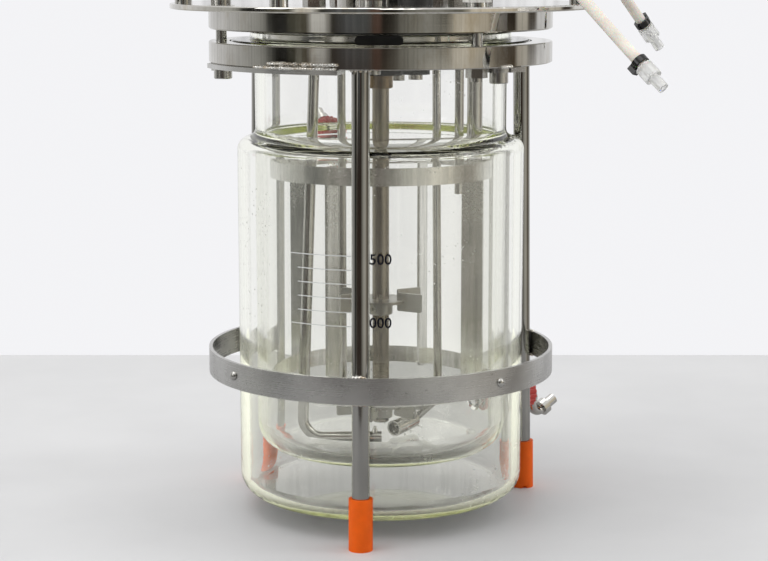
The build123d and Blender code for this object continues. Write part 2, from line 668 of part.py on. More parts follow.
def foot_sleeve(azimuth, torn=False):
    """Silicone sleeve pushed over the end of a leg, with a closed sole."""
    foot, head = leg_line(azimuth)
    along = (head - foot).normalized()
    sleeve = rod(foot - along * 5, foot + along * FOOT_HEIGHT, LEG_DIA + 2 * FOOT_WALL)
    sleeve -= level_slab(-FOOT_HEIGHT, 0)
    sleeve -= clean_bar(foot, head, LEG_DIA + 2 * FIXED_FIT, FOOT_FLOOR, CLAMP_RING_BOTTOM_Z)
    if torn:
        notch = Rot(0, 0, 35) * Box(*FOOT_TEAR)
        sleeve -= Pos(foot.X + 1.0, foot.Y - LEG_DIA / 2 - FOOT_WALL, 0) * notch
    return sleeve.solids().sort_by(SortBy.VOLUME)[-1]


def stand_tab(start, end):
    """Arc-shaped plate under the clamp ring, held by the cap screw at its round end."""
    screw = polar(TAB_SCREW_R, start)
    band = Circle(TAB_OUTER_R) - Circle(TAB_INNER_R)
    band = (band & sector(start, end)) + Pos(screw.X, screw.Y) * Circle(TAB_END_R)
    band -= Pos(screw.X, screw.Y) * Circle(BOLT_DIA / 2 + SCREW_PLATE_GAP)
    return Pos(0, 0, TAB_BOTTOM_Z) * extrude(band, TAB_THICKNESS)


def stand_screws():
    """Socket cap screws that hold the tab plates to the clamp ring."""
    screws = []
    low = TAB_BOTTOM_Z - SCREW_HEAD_HEIGHT
    for point in tab_screw_points():
        screw = disc(SCREW_HEAD_DIA, low, TAB_BOTTOM_Z)
        screw = chamfer(screw.edges().filter_by(GeomType.CIRCLE).sort_by(Axis.Z)[0], 0.5)
        screw -= hexagon(SCREW_SOCKET, low - 1, low + SCREW_HEAD_HEIGHT / 2)
        screw += disc(BOLT_DIA, TAB_BOTTOM_Z, CLAMP_RING_BOTTOM_Z + SCREW_REACH)
        screws.append(Pos(point.X, point.Y, 0) * screw)
    return group(screws)


def hoop_radius():
    """Bore radius of the hoop, which the legs stand against from inside."""
    taper = (LEG_FOOT_R - LEG_TOP_R) / CLAMP_RING_BOTTOM_Z
    return LEG_FOOT_R - taper * HOOP_BOTTOM_Z + LEG_DIA / 2 + HOOP_LEG_GAP


def guard_hoop():
    """Flat strip bent to an open hoop round the legs."""
    inner = hoop_radius()
    outer = inner + HOOP_THICKNESS
    gap = sector(LEG_AZIMUTHS["right"] + HOOP_OVERRUN, LEG_AZIMUTHS["left"] - HOOP_OVERRUN)
    hoop = Pos(0, 0, HOOP_BOTTOM_Z) * extrude(Circle(outer) - Circle(inner) - gap, HOOP_HEIGHT)
    middle_z = HOOP_BOTTOM_Z + HOOP_HEIGHT / 2
    hole = HOOP_RIVET_SHANK + 2 * THREAD_CLEARANCE
    for azimuth in HOOP_RIVET_AZIMUTHS:
        hoop -= rod(polar(inner - 2, azimuth, middle_z), polar(outer + 2, azimuth, middle_z), hole)
    return hoop


def hoop_rivets():
    """Domed steel rivets through the hoop."""
    inner = hoop_radius()
    dome = Sphere(HOOP_RIVET_DIA / 2) & level_slab(0, HOOP_RIVET_DIA)
    dome = scale(dome, (1, 1, HOOP_RIVET_FLATTENING))
    back = -HOOP_THICKNESS - 0.1
    back_dia, back_height = HOOP_RIVET_BACK
    rivet = dome + disc(HOOP_RIVET_SHANK, back, 0.2) + disc(back_dia, back - back_height, back)
    rivets = []
    for azimuth in HOOP_RIVET_AZIMUTHS:
        seat = polar(inner + HOOP_THICKNESS + FIXED_FIT, azimuth, HOOP_BOTTOM_Z + HOOP_HEIGHT / 2)
        rivets.append(Plane(origin=seat, z_dir=polar(1, azimuth)).location * rivet)
    return group(rivets)


# ================================================================ baffle cage
def cage_clip(z0, z1):
    """Spring clip that snaps a cage ring on the thermowell."""
    x, y = THERMOWELL["x"], THERMOWELL["y"]
    azimuth = degrees(atan2(y, x))
    centre_r = sqrt(x * x + y * y)
    bore = THERMOWELL["od"] + 2 * PORT_CLEARANCE
    clip = ring(bore, bore + 2 * CAGE_CLIP_WALL, z0, z1)
    clip -= Pos(-bore / 2, 0, (z0 + z1) / 2) * Box(bore, bore * CAGE_CLIP_MOUTH, z1 - z0 + 2)
    bridge_end = CAGE_RING_BORE_R + CAGE_RING_THICKNESS / 2 - centre_r
    bridge_start = bore / 2 + CAGE_CLIP_WALL / 3
    bridge = Box(bridge_end - bridge_start, CAGE_CLIP_BRIDGE, z1 - z0)
    clip += Pos((bridge_start + bridge_end) / 2, 0, (z0 + z1) / 2) * bridge
    return Rot(0, 0, azimuth) * (Pos(centre_r, 0, 0) * clip)


def cage_rings():
    """Flat strip rings of the baffle cage, each with the clip that holds it to the thermowell."""
    rings = []
    for low in (CAGE_LOWER_Z, CAGE_UPPER_Z):
        hoop = ring(2 * CAGE_RING_BORE_R, CAGE_RING_OD, low, low + CAGE_RING_HEIGHT)
        rings.append(hoop + cage_clip(low + CAGE_CLIP_INSET, low + CAGE_RING_HEIGHT - CAGE_CLIP_INSET))
    return group(rings)


def baffles():
    """Upright strips welded inside the cage rings, edge on to the swirl."""
    height = CAGE_UPPER_Z + CAGE_RING_HEIGHT - CAGE_LOWER_Z
    strip = Box(BAFFLE_WIDTH, BAFFLE_THICKNESS, height, align=(Align.MAX, Align.CENTER, Align.MIN))
    inner_edges = strip.edges().filter_by(Axis.Y).group_by(Axis.X)[0]
    strip = fillet(inner_edges, BAFFLE_CORNER)
    reach = sqrt(CAGE_RING_BORE_R ** 2 - (BAFFLE_THICKNESS / 2) ** 2) - BAFFLE_SEAM
    strip = Pos(reach, 0, CAGE_LOWER_Z) * strip
    azimuths = round_pattern(BAFFLE_COUNT, BAFFLE_FIRST_AZIMUTH)
    return group([Rot(0, 0, azimuth) * strip for azimuth in azimuths])


# ================================================================ stirrer
def stirrer_shaft():
    """Ground steel shaft with a turned-down end above the drive hub."""
    stub_dia = SHAFT_DIA - 2 * SHAFT_STUB_STEP
    shaft = disc(SHAFT_DIA, SHAFT_BOTTOM_Z, DRIVE_HUB_TOP_Z)
    shaft += disc(stub_dia, DRIVE_HUB_TOP_Z, DRIVE_HUB_TOP_Z + SHAFT_STUB_LENGTH)
    ends = [rims_of(shaft, SHAFT_DIA)[0], rims_of(shaft, stub_dia)[-1]]
    return chamfer(ends, 0.6)


def grub_height(impeller):
    return impeller["z"] + HUB_HEIGHT / 2


def impeller(place):
    """Disc turbine: a hub, a thin disc on it and flat blades slotted into the disc's rim."""
    low = place["z"]
    disc_z = low + HUB_HEIGHT
    middle = disc_z + IMPELLER_DISC_THICKNESS / 2
    hub = disc(HUB_DIA, low, disc_z)
    hub = fillet(hub.edges().filter_by(GeomType.CIRCLE).sort_by(Axis.Z)[0], 1.0)
    body = hub + disc(IMPELLER_DISC_DIA, disc_z, disc_z + IMPELLER_DISC_THICKNESS)
    blade = Box(BLADE_LENGTH, BLADE_THICKNESS, BLADE_HEIGHT, align=(Align.MAX, Align.CENTER, Align.CENTER))
    blade = fillet(blade.edges().filter_by(Axis.Y), 1.0)
    blade = Pos(IMPELLER_DIA / 2, 0, middle) * blade
    for azimuth in round_pattern(BLADES, place["first_azimuth"]):
        body += Rot(0, 0, azimuth) * blade
    body -= disc(SHAFT_DIA + 2 * FIXED_FIT, low - 1, disc_z + BLADE_HEIGHT)
    grub_z = grub_height(place)
    return body - rod(polar(0, GRUB_AZIMUTH, grub_z), polar(HUB_DIA, GRUB_AZIMUTH, grub_z), GRUB_DIA)


def grub_screws():
    """Set screws that hold the impellers on the shaft."""
    screws = []
    for place in (UPPER_IMPELLER, LOWER_IMPELLER):
        start = polar(SHAFT_DIA / 2 + 0.05, GRUB_AZIMUTH, grub_height(place))
        end = polar(SHAFT_DIA / 2 + 0.05 + GRUB_LENGTH, GRUB_AZIMUTH, grub_height(place))
        inward = Plane(origin=end, z_dir=start - end).location
        flats, depth = GRUB_SOCKET
        screws.append(rod(start, end, GRUB_DIA) - inward * hexagon(flats, 0, depth))
    return group(screws)


# ================================================================ shaft seal, bearings and drive
def shaft_seal():
    bore = SHAFT_DIA + 2 * RUNNING_CLEARANCE
    return ring(bore, SEAL_OD, SEAL_BOTTOM_Z, SPIGOT_BOTTOM_Z)


def seal_bush():
    bore = SHAFT_DIA + 2 * RUNNING_CLEARANCE
    bush = ring(bore, BUSH_OD, SEAL_BOTTOM_Z - BUSH_HEIGHT, SEAL_BOTTOM_Z)
    return chamfer(rims_of(bush, BUSH_OD)[0], 0.6)


def housing_screw_points():
    radius = HOUSING_OD / 2 + HOUSING_SCREW_OFFSET
    return [polar(radius, azimuth) for azimuth in round_pattern(HOUSING_SCREWS, 45.0)]


def bearing_heights():
    """Undersides of the two bearings, one at each end of the housing."""
    return DECK_Z, DECK_Z + HOUSING_HEIGHT - BEARING_WIDTH


def bearing_housing():
    """Flanged steel housing on the deck with a seat for a shaft bearing at each end."""
    top = DECK_Z + HOUSING_HEIGHT
    flange_top = DECK_Z + HOUSING_FLANGE_THICKNESS
    flange_dia = HOUSING_OD + 2 * HOUSING_FLANGE_WIDTH
    body = disc(HOUSING_OD, DECK_Z, top) + disc(flange_dia, DECK_Z, flange_top)
    for low in bearing_heights():
        body -= disc(BEARING_OD + 2 * FIXED_FIT, low, low + BEARING_WIDTH)
    body -= disc(BEARING_OD - 2 * BEARING_SHOULDER, DECK_Z - 1, top + 1)
    hole = HOUSING_SCREW_DIA + 2 * PORT_CLEARANCE
    for point in housing_screw_points():
        body -= disc(hole, DECK_Z - 1, flange_top + 1, point.X, point.Y)
    return body


def housing_screws():
    screws = []
    low = DECK_Z + HOUSING_FLANGE_THICKNESS
    head_dia, head_height = HOUSING_SCREW_HEAD
    flats, depth = HOUSING_SCREW_SOCKET
    top = low + head_height
    screw = disc(head_dia, low, top) + disc(HOUSING_SCREW_DIA, DECK_Z, low)
    screw -= hexagon(flats, top - depth, top + 1)
    for point in housing_screw_points():
        screws.append(Pos(point.X, point.Y, 0) * screw)
    return group(screws)


def shaft_bearings():
    """Two deep-groove ball bearings, each with its shields as one closed ring."""
    rings = []
    inner_race, outer_race, shield = BEARING_RACES
    for low in bearing_heights():
        top = low + BEARING_WIDTH
        body = ring(SHAFT_DIA + 2 * RUNNING_CLEARANCE, BEARING_OD, low, top)
        body -= ring(SHAFT_DIA + 2 * inner_race, BEARING_OD - 2 * outer_race, top - shield, top + 1)
        rings.append(body)
    return group(rings)


def housing_cover():
    low = DECK_Z + HOUSING_HEIGHT
    cover = ring(SHAFT_DIA + 2 * OPEN_BORE_GAP, HOUSING_OD, low, low + COVER_THICKNESS)
    return chamfer(rims_of(cover, HOUSING_OD)[-1], 1.0)


def drive_hub():
    """Steel hub on the shaft's upper end that the motor's coupling takes hold of."""
    low, top = DRIVE_HUB_BOTTOM_Z, DRIVE_HUB_TOP_Z
    width, depth = DRIVE_HUB_SLOT
    hub = disc(DRIVE_HUB_OD, low, top)
    hub = chamfer(hub.edges().filter_by(GeomType.CIRCLE), 1.0)
    hub -= disc(SHAFT_DIA + 2 * FIXED_FIT, low - 1, top + 1)
    return hub - Pos(0, 0, top) * Box(DRIVE_HUB_OD + 2, width, 2 * depth)


# ================================================================ tubes through the lid
def barb(x, y, od):
    """Hose barb with the root that closes the top of a tube round it."""
    pitch = BARB_LENGTH / BARB_RINGS
    root = BARB_BASE_Z - BARB_ROOT
    points = [(BARB_BORE / 2, root), (od / 2, root), (od / 2, BARB_BASE_Z)]
    for step in range(BARB_RINGS):
        points.append((BARB_OD / 2, BARB_BASE_Z + pitch * step))
        points.append((BARB_OD / 2 - BARB_STEP, BARB_BASE_Z + pitch * (step + 1)))
    points.append((BARB_BORE / 2, BARB_BASE_Z + BARB_LENGTH))
    return Pos(x, y, 0) * turned(points)


def sparger_pipe():
    """Air pipe: straight down to the vessel's floor and along it to below the impeller."""
    x, y, od, bore = sizes_of(SPARGER)
    foot_x, foot_y = x + SPARGER_LEAN[0], y + SPARGER_LEAN[1]
    foot_z = FLOOR_Z + SPARGER_FLOOR_GAP + od / 2
    top, under_lid = BARB_BASE_Z - BARB_ROOT / 2, SPIGOT_BOTTOM_Z - 4
    foot = Vector(foot_x, foot_y, foot_z)
    tip = Vector(SPARGER_REACH, foot_y, foot_z)
    plug = tip - Vector(SPARGER_PLUG, 0, 0)
    path = FilletPolyline((x, y, top), (x, y, under_lid), foot, tip, radius=[LONG_BEND, SPARGER_BEND])
    base, point, rise, hole = SPARGER_NOZZLE
    cone = Cone(base, point, rise + od / 2, align=(Align.CENTER, Align.CENTER, Align.MIN))
    wall = pipe(path, od, bore) + barb(x, y, od) + rod(plug, tip, od)
    wall += Pos(SPARGER_NOZZLE_X, foot_y, foot_z) * cone
    inside = rod((SPARGER_NOZZLE_X - od, foot_y, foot_z), plug, bore)
    return wall - inside - disc(hole, foot_z, foot_z + rise + od, SPARGER_NOZZLE_X, foot_y)


def dip_tube():
    x, y, od, bore = sizes_of(DIP_TUBE)
    return ring(bore, od, DIP_TUBE_END_Z, BARB_BASE_Z - BARB_ROOT / 2, x, y) + barb(x, y, od)


def dressing(tube):
    """What is turned off the open upper end of a tube."""
    x, y, od, bore = sizes_of(tube)
    return ring(od - 2 * TUBE_END_STEP, od + 2, TUBE_TOP_Z - TUBE_END_LENGTH, TUBE_TOP_Z + 1, x, y)


def sample_tube():
    """Sampling tube that bends in under the stirrer and ends in an open sleeve."""
    x, y, od, bore = sizes_of(SAMPLE_TUBE)
    back, mouth = Vector(SAMPLE_SLEEVE_BACK), Vector(SAMPLE_SLEEVE_MOUTH)
    inward = (mouth - back).normalized()
    socket = back + inward * SAMPLE_SLEEVE_SOCKET
    corners = [(x, y, TUBE_TOP_Z), (x, y, SPIGOT_BOTTOM_Z - 4), SAMPLE_KNEE, back, socket]
    path = FilletPolyline(*corners, radius=[LONG_BEND, *SAMPLE_BENDS])
    tube = pipe(path, od) + rod(back, mouth, SAMPLE_SLEEVE_OD) - dressing(SAMPLE_TUBE)
    pocket = rod(socket, mouth + inward, SAMPLE_SLEEVE_OD - 2 * SAMPLE_SLEEVE_WALL)
    return tube - pocket - pipe(path, bore)


def feed_tube():
    x, y, od, bore = sizes_of(FEED_TUBE)
    return ring(bore, od, FEED_TUBE_END_Z, TUBE_TOP_Z, x, y) - dressing(FEED_TUBE)


def thermowell():
    """Closed-ended pocket for a temperature sensor."""
    x, y, od, bore = sizes_of(THERMOWELL)
    top = DECK_Z + THERMOWELL_RISE
    rim, rim_height = THERMOWELL_RIM
    well = disc(od, THERMOWELL_END_Z, top) + disc(od + 2 * rim, top - rim_height, top)
    well = fillet(rims_of(well, od)[0], od / 2 - 0.6)
    return Pos(x, y, 0) * (well - disc(bore, THERMOWELL_END_Z + THERMOWELL_SOLE, top + 1))


def gland_sizes():
    """Place, tube size and hexagon of every tube gland."""
    sizes = [(tube["x"], tube["y"], tube["od"], GLAND_FLATS) for tube in SMALL_TUBES]
    sizes.append((THERMOWELL["x"], THERMOWELL["y"], THERMOWELL["od"], THERMOWELL_FLATS))
    return sizes


def gland_parts(low, high, squeeze=0.0, turn=0.0):
    """Hexagon rings round all the tubes between two heights over the deck."""
    pieces = []
    for x, y, od, flats in gland_sizes():
        size = flats - squeeze
        body = Rot(0, 0, turn) * hexagon(size, DECK_Z + low, DECK_Z + high)
        body -= disc(od + 2 * PORT_CLEARANCE, DECK_Z + low - 1, DECK_Z + high + 1)
        pieces.append(Pos(x, y, 0) * body)
    return group(pieces)


def gland_rings():
    """Sealing rings pinched between each gland body and its nut."""
    low = DECK_Z + GLAND_BODY_HEIGHT
    rings = []
    for x, y, od, flats in gland_sizes():
        rings.append(ring(od + 2 * PORT_CLEARANCE, flats - 2.0, low, low + GLAND_RING_HEIGHT, x, y))
    return group(rings)


def port_plugs():
    """Hexagon plugs that close the spare ports."""
    plugs = []
    collar_dia, collar_height = PLUG_COLLAR
    head = hexagon(PLUG_FLATS, DECK_Z, DECK_Z + PLUG_HEAD_HEIGHT)
    head += disc(collar_dia, DECK_Z, DECK_Z + collar_height)
    for x, y, drop in PLUGS:
        plugs.append(Pos(x, y, 0) * (head + disc(PLUG_SHANK_DIA, SPIGOT_BOTTOM_Z - drop, DECK_Z)))
    return group(plugs)


def port_bung():
    """Rubber bung of the septum port."""
    x, y = BUNG
    low = SPIGOT_BOTTOM_Z - BUNG_DROP
    bung = disc(BUNG_DIA, low, DECK_Z)
    bung += disc(BUNG_HEAD_DIA, DECK_Z, DECK_Z + BUNG_HEAD_HEIGHT)
    bung = fillet(bung.edges().filter_by(GeomType.CIRCLE).sort_by(Axis.Z)[-1], 1.5)
    bung -= disc(BUNG_TUBE_DIA + 2 * FIXED_FIT, low - 1, DECK_Z + BUNG_HEAD_HEIGHT + 1)
    return Pos(x, y, 0) * bung


def bung_tube():
    bore = BUNG_TUBE_DIA - 2 * BUNG_TUBE_WALL
    low, high = SPIGOT_BOTTOM_Z - BUNG_TUBE_DROP, DECK_Z + BUNG_TUBE_RISE
    return ring(bore, BUNG_TUBE_DIA, low, high, *BUNG)


def lifting_handle(azimuths):
    """Bent round bar standing on the rim of the deck."""
    feet = [polar(HANDLE_R, azimuth, DECK_Z) for azimuth in azimuths]
    rise = Vector(0, 0, HANDLE_HEIGHT)
    path = FilletPolyline(feet[0], feet[0] + rise, feet[1] + rise, feet[1], radius=HANDLE_BEND)
    return pipe(path, HANDLE_DIA)


# ================================================================ hoses
def hose_path(route, name):
    """Straight runs joined by tangent arcs, each as large as its two runs allow."""
    points = [Vector(point) for point in route]
    radii = []
    for before, here, after in zip(points, points[1:], points[2:]):
        half_turn = radians((here - before).get_angle(after - here)) / 2
        shorter = min((here - before).length, (after - here).length)
        radii.append(0.45 * shorter / tan(half_turn))
    print(name, "bend radii in mm:", [round(radius, 1) for radius in radii])
    path = FilletPolyline(*points, radius=radii)
    print(name, "length in mm:", round(path.length, 1))
    return path


def hose(route, name, spout):
    """Silicone hose pushed over a barb, with its free end cut square."""
    path = hose_path(route, name)
    tube = pipe(path, HOSE_DIA)
    expected = path.length * pi * HOSE_DIA ** 2 / 4
    print(name, "volume over section times length:", round(tube.volume / expected, 4))
    return tube - spout


def end_frame(route):
    """Frame at a hose's free end, z along the hose."""
    last, end = Vector(route[-2]), Vector(route[-1])
    return Plane(origin=end, x_dir=(0, 1, 0), z_dir=end - last).location


def hose_tie(route, turn):
    """Nylon cable tie round the end of a hose."""
    dia = HOSE_DIA + 2 * FIXED_FIT
    high = -TIE_SETBACK
    band = ring(dia, dia + 2 * TIE_THICKNESS, high - TIE_WIDTH, high)
    head = Box(TIE_HEAD, TIE_HEAD_RISE, TIE_HEAD, align=(Align.CENTER, Align.MIN, Align.CENTER))
    head = Pos(0, dia / 2, high - TIE_WIDTH / 2) * head - disc(dia, high - 20, high + 20)
    return end_frame(route) * (Rot(0, 0, turn) * (band + head))


def luer_fitting(route):
    """Clear plastic luer connector in a hose's free end."""
    overhang, thickness, length = LUER_WING
    wings = Box(LUER_COLLAR_DIA + 2 * overhang, thickness, length)
    body = disc(LUER_COLLAR_DIA, 0, LUER_COLLAR_LENGTH) + disc(LUER_TIP_DIA, 0, LUER_LENGTH)
    body += Pos(0, 0, LUER_COLLAR_LENGTH - length / 2) * wings
    return end_frame(route) * (body - disc(LUER_BORE, -1, LUER_LENGTH + 1))


# ================================================================ build
def all_pieces():
    gland_top = GLAND_BODY_HEIGHT + GLAND_RING_HEIGHT
    sparger = sparger_pipe()
    vent = dip_tube()
    pieces = {
        "glass_vessel": glass_vessel(),
        "clamp_ring": clamp_ring(),
        "lip_cushion": lip_cushion(),
        "lid_gasket": lid_gasket(),
        "rim_pad": rim_pad(),
        "head_plate": head_plate(),
        "spigot_o_ring": spigot_ring(),
        "top_disc": top_disc(),
        "clamp_nuts": clamp_nuts(),
        "stand_screws": stand_screws(),
        "guard_hoop": guard_hoop(),
        "hoop_rivets": hoop_rivets(),
        "cage_rings": cage_rings(),
        "baffles": baffles(),
        "stirrer_shaft": stirrer_shaft(),
        "impeller_upper": impeller(UPPER_IMPELLER),
        "impeller_lower": impeller(LOWER_IMPELLER),
        "impeller_grub_screws": grub_screws(),
        "shaft_seal": shaft_seal(),
        "seal_bush": seal_bush(),
        "bearing_housing": bearing_housing(),
        "housing_screws": housing_screws(),
        "shaft_bearings": shaft_bearings(),
        "housing_cover": housing_cover(),
        "drive_hub": drive_hub(),
        "sparger_pipe": sparger,
        "dip_tube": vent,
        "sample_tube": sample_tube(),
        "feed_tube": feed_tube(),
        "thermowell": thermowell(),
        "gland_bodies": gland_parts(0, GLAND_BODY_HEIGHT),
        "gland_rings": gland_rings(),
        "gland_nuts": gland_parts(
            gland_top, gland_top + GLAND_NUT_HEIGHT, GLAND_NUT_SQUEEZE, GLAND_NUT_TURN),
        "port_plugs": port_plugs(),
        "port_bung": port_bung(),
        "bung_tube": bung_tube(),
        "port_cap_lower": port_cap(LOWER_PORT),
        "port_cap_upper": port_cap(UPPER_PORT),
        "port_seals": group([port_seal(LOWER_PORT), port_seal(UPPER_PORT)]),
        "hose_stem_lower": lower_stem(),
        "hose_stem_upper": upper_stem(),
        "air_hose": hose(AIR_HOSE, "air hose", sparger),
        "vent_hose": hose(VENT_HOSE, "vent hose", vent),
        "hose_ties": group([hose_tie(AIR_HOSE, AIR_TIE_TURN), hose_tie(VENT_HOSE, VENT_TIE_TURN)]),
        "luer_fittings": group([luer_fitting(AIR_HOSE), luer_fitting(VENT_HOSE)]),
        "stand_tabs": group([stand_tab(*span) for span in TAB_SPANS]),
        "lifting_handles": group([lifting_handle(azimuths) for azimuths in HANDLES]),
    }
    for name, azimuth in LEG_AZIMUTHS.items():
        pieces["leg_" + name] = leg(azimuth)
        pieces["foot_" + name] = foot_sleeve(azimuth, torn=(name == "right"))
    for name, point in bolt_points().items():
        pieces["clamp_bolt_" + name] = clamp_bolt(point)
        pieces["clamp_knob_" + name] = clamp_knob(point)
    return pieces


def main():
    os.makedirs("parts", exist_ok=True)
    for name, piece in all_pieces().items():
        export_step(piece, "parts/" + name + ".step")


main()
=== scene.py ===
"""Looks of the bench bioreactor: blown glass, turned and drawn steel, weld beads, volume marks and hoses."""
import math

import bpy
from bpy.props import FloatProperty, FloatVectorProperty, IntProperty, PointerProperty
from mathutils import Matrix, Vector, noise


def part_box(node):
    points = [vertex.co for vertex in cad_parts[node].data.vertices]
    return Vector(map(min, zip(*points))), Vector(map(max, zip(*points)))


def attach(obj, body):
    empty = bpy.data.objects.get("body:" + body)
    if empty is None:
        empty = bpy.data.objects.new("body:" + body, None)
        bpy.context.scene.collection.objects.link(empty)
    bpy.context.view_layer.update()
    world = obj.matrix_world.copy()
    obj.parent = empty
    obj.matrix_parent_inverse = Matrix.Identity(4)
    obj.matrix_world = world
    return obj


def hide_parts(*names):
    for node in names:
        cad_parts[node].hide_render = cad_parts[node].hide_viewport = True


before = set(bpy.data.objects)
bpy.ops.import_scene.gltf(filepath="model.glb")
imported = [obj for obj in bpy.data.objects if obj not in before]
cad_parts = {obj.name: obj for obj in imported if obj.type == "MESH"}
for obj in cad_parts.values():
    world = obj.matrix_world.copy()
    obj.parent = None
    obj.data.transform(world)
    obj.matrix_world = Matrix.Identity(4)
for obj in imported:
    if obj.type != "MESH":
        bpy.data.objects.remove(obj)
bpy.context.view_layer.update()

bl_info = {
    "name": "Bench Bioreactor",
    "version": (1, 0, 0),
    "blender": (4, 5, 0),
    "location": "View3D > Sidebar > Bioreactor",
    "description": "Finishes the jacketed glass bioreactor, its stand, stirrer and hoses",
    "category": "Object",
}

ROOT = "vessel_and_stand"

# Places and sizes that the pieces share, in metres
JACKET_R = 0.080
CAGE_TOP_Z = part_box("cage_rings")[1].z

# Where dried splashes on the baffles begin, where they are thickest, and where they end under the upper ring
SPLASH_Z = (0.150, 0.205)
RING_EDGE_Z = (CAGE_TOP_Z - 0.010, CAGE_TOP_Z - 0.013)
DRIED = (0.92, 0.91, 0.87)
GRIME = (0.72, 0.66, 0.56)

# Print on the jacket: directions in degrees, heights and sizes in metres
PRINT_LIFT = 0.00006
MARK_SPAN = (-126.5, -101.0)
MARK_INDENT = 3.2
MARK_LOW_Z = 0.1180
MARK_STEP = 0.00752
MARK_COUNT = 6
MARK_WIDTH = 0.0005
NUMBERS = ((0.1200, "1000"), (0.1538, "1500"))
NUMBER_AZIMUTH = -91.4
NUMBER_SIZE = 0.0079
NUMBER_BOLDNESS = 0.0001

# Weld beads on the arc plates: name, radius, first direction, step, number of blobs, rise over the plate,
# bead radius and seed
PLATE_SEAMS = (
    ("plate_weld", 0.0960, -133.0, 0.9, 33, 0.0004, 0.0013, 1.0),
    ("plate_weld_upper", 0.0958, -127.5, 1.0, 25, 0.0026, 0.0012, 9.1),
    ("plate_end_weld", 0.0955, -48.5, 1.0, 5, 0.0004, 0.0014, 4.2),
)
# Weld beads of the legs: their circle, the collar at the top and the spots where the hoop meets a leg
LEG_AZIMUTHS = (-96.6, 23.4, 143.4)
LEG_CIRCLE_R = 0.08775
COLLAR_R = 0.0049
COLLAR_BEAD = 0.0010
HOOP_R = 0.0955
HOOP_BEAD = 0.0014
HOOP_SPOTS = (-1.9, -0.8, 0.4, 1.6)

# The studio: what is behind the vessel, what thick glass gathers from the room and from the table, the table
# in metal, and the room that metal mirrors at eye level and below it, as colours by direction in degrees
BACKDROP = (0.90, 0.90, 0.92)
GATHERED = (0.93, 0.935, 0.915)
GLASS_RIMS = (0.96, 0.97, 0.82)
TABLE_GLOW = (0.50, 0.495, 0.47)
ROOM = (
    (-180.0, (0.46, 0.46, 0.44)),
    (-172.0, (0.30, 0.30, 0.28)),
    (-168.0, (0.006, 0.006, 0.005)),
    (-155.0, (0.006, 0.006, 0.005)),
    (-151.0, (0.080, 0.078, 0.055)),
    (-139.0, (0.090, 0.085, 0.060)),
    (-135.0, (0.92, 0.92, 0.88)),
    (-127.0, (0.92, 0.92, 0.88)),
    (-122.0, (0.045, 0.044, 0.034)),
    (-112.0, (0.13, 0.14, 0.15)),
    (-98.0, (0.12, 0.13, 0.13)),
    (-95.0, (0.13, 0.085, 0.065)),
    (-91.0, (0.15, 0.095, 0.075)),
    (-88.0, (0.010, 0.010, 0.008)),
    (-82.0, (0.012, 0.012, 0.010)),
    (-75.0, (0.20, 0.197, 0.175)),
    (-60.0, (0.29, 0.288, 0.262)),
    (-46.0, (0.075, 0.070, 0.050)),
    (-40.0, (0.76, 0.69, 0.56)),
    (-16.0, (0.68, 0.61, 0.49)),
    (-11.0, (0.13, 0.105, 0.072)),
    (1.0, (0.030, 0.022, 0.014)),
    (9.0, (0.035, 0.026, 0.017)),
    (12.0, (0.72, 0.68, 0.60)),
    (21.0, (0.66, 0.62, 0.54)),
    (25.0, (0.050, 0.036, 0.024)),
    (32.0, (0.055, 0.042, 0.030)),
    (38.0, (0.86, 0.86, 0.87)),
    (140.0, (0.86, 0.86, 0.87)),
    (162.0, (0.62, 0.62, 0.61)),
    (180.0, (0.46, 0.46, 0.44)),
)
ROOM_BELOW = (
    (-180.0, (0.42, 0.42, 0.40)),
    (-168.0, (0.28, 0.28, 0.26)),
    (-161.0, (0.006, 0.006, 0.005)),
    (-149.0, (0.006, 0.006, 0.005)),
    (-145.0, (0.26, 0.255, 0.22)),
    (-138.0, (0.060, 0.040, 0.030)),
    (-92.0, (0.040, 0.024, 0.017)),
    (-86.0, (0.10, 0.080, 0.062)),
    (-70.0, (0.34, 0.33, 0.29)),
    (-55.0, (0.64, 0.62, 0.56)),
    (-35.0, (0.80, 0.77, 0.69)),
    (-15.0, (0.48, 0.44, 0.37)),
    (-5.0, (0.22, 0.19, 0.15)),
    (10.0, (0.15, 0.12, 0.09)),
    (20.0, (0.50, 0.48, 0.44)),
    (38.0, (0.86, 0.86, 0.87)),
    (140.0, (0.86, 0.86, 0.87)),
    (162.0, (0.58, 0.58, 0.57)),
    (180.0, (0.42, 0.42, 0.40)),
)

# How high over the horizon, as a sine, the room changes: to below eye level, to the table, to the ceiling
BELOW_EYE = (-0.03, -0.07)
TABLE_FROM = (-0.17, -0.30)
CEILING_FROM = (0.42, 0.72)
CEILING = (0.97, 0.97, 0.97)
DARK_STREAK = (0.045, 0.042, 0.032)
PALE_STREAK = (0.60, 0.57, 0.50)

# Lamps: name, place, size and power in watts, all turned to one point
LAMPS = (
    ("top_lamp", (-0.25, -0.1, 1.5), (1.3, 1.1), 9.0),
    ("left_lamp", (-1.3, -0.7, 0.9), (0.5, 1.2), 5.0),
    ("right_lamp", (1.4, -0.2, 0.8), (0.4, 1.2), 4.0),
)
LAMP_AIM = Vector((0.0, 0.0, 0.15))

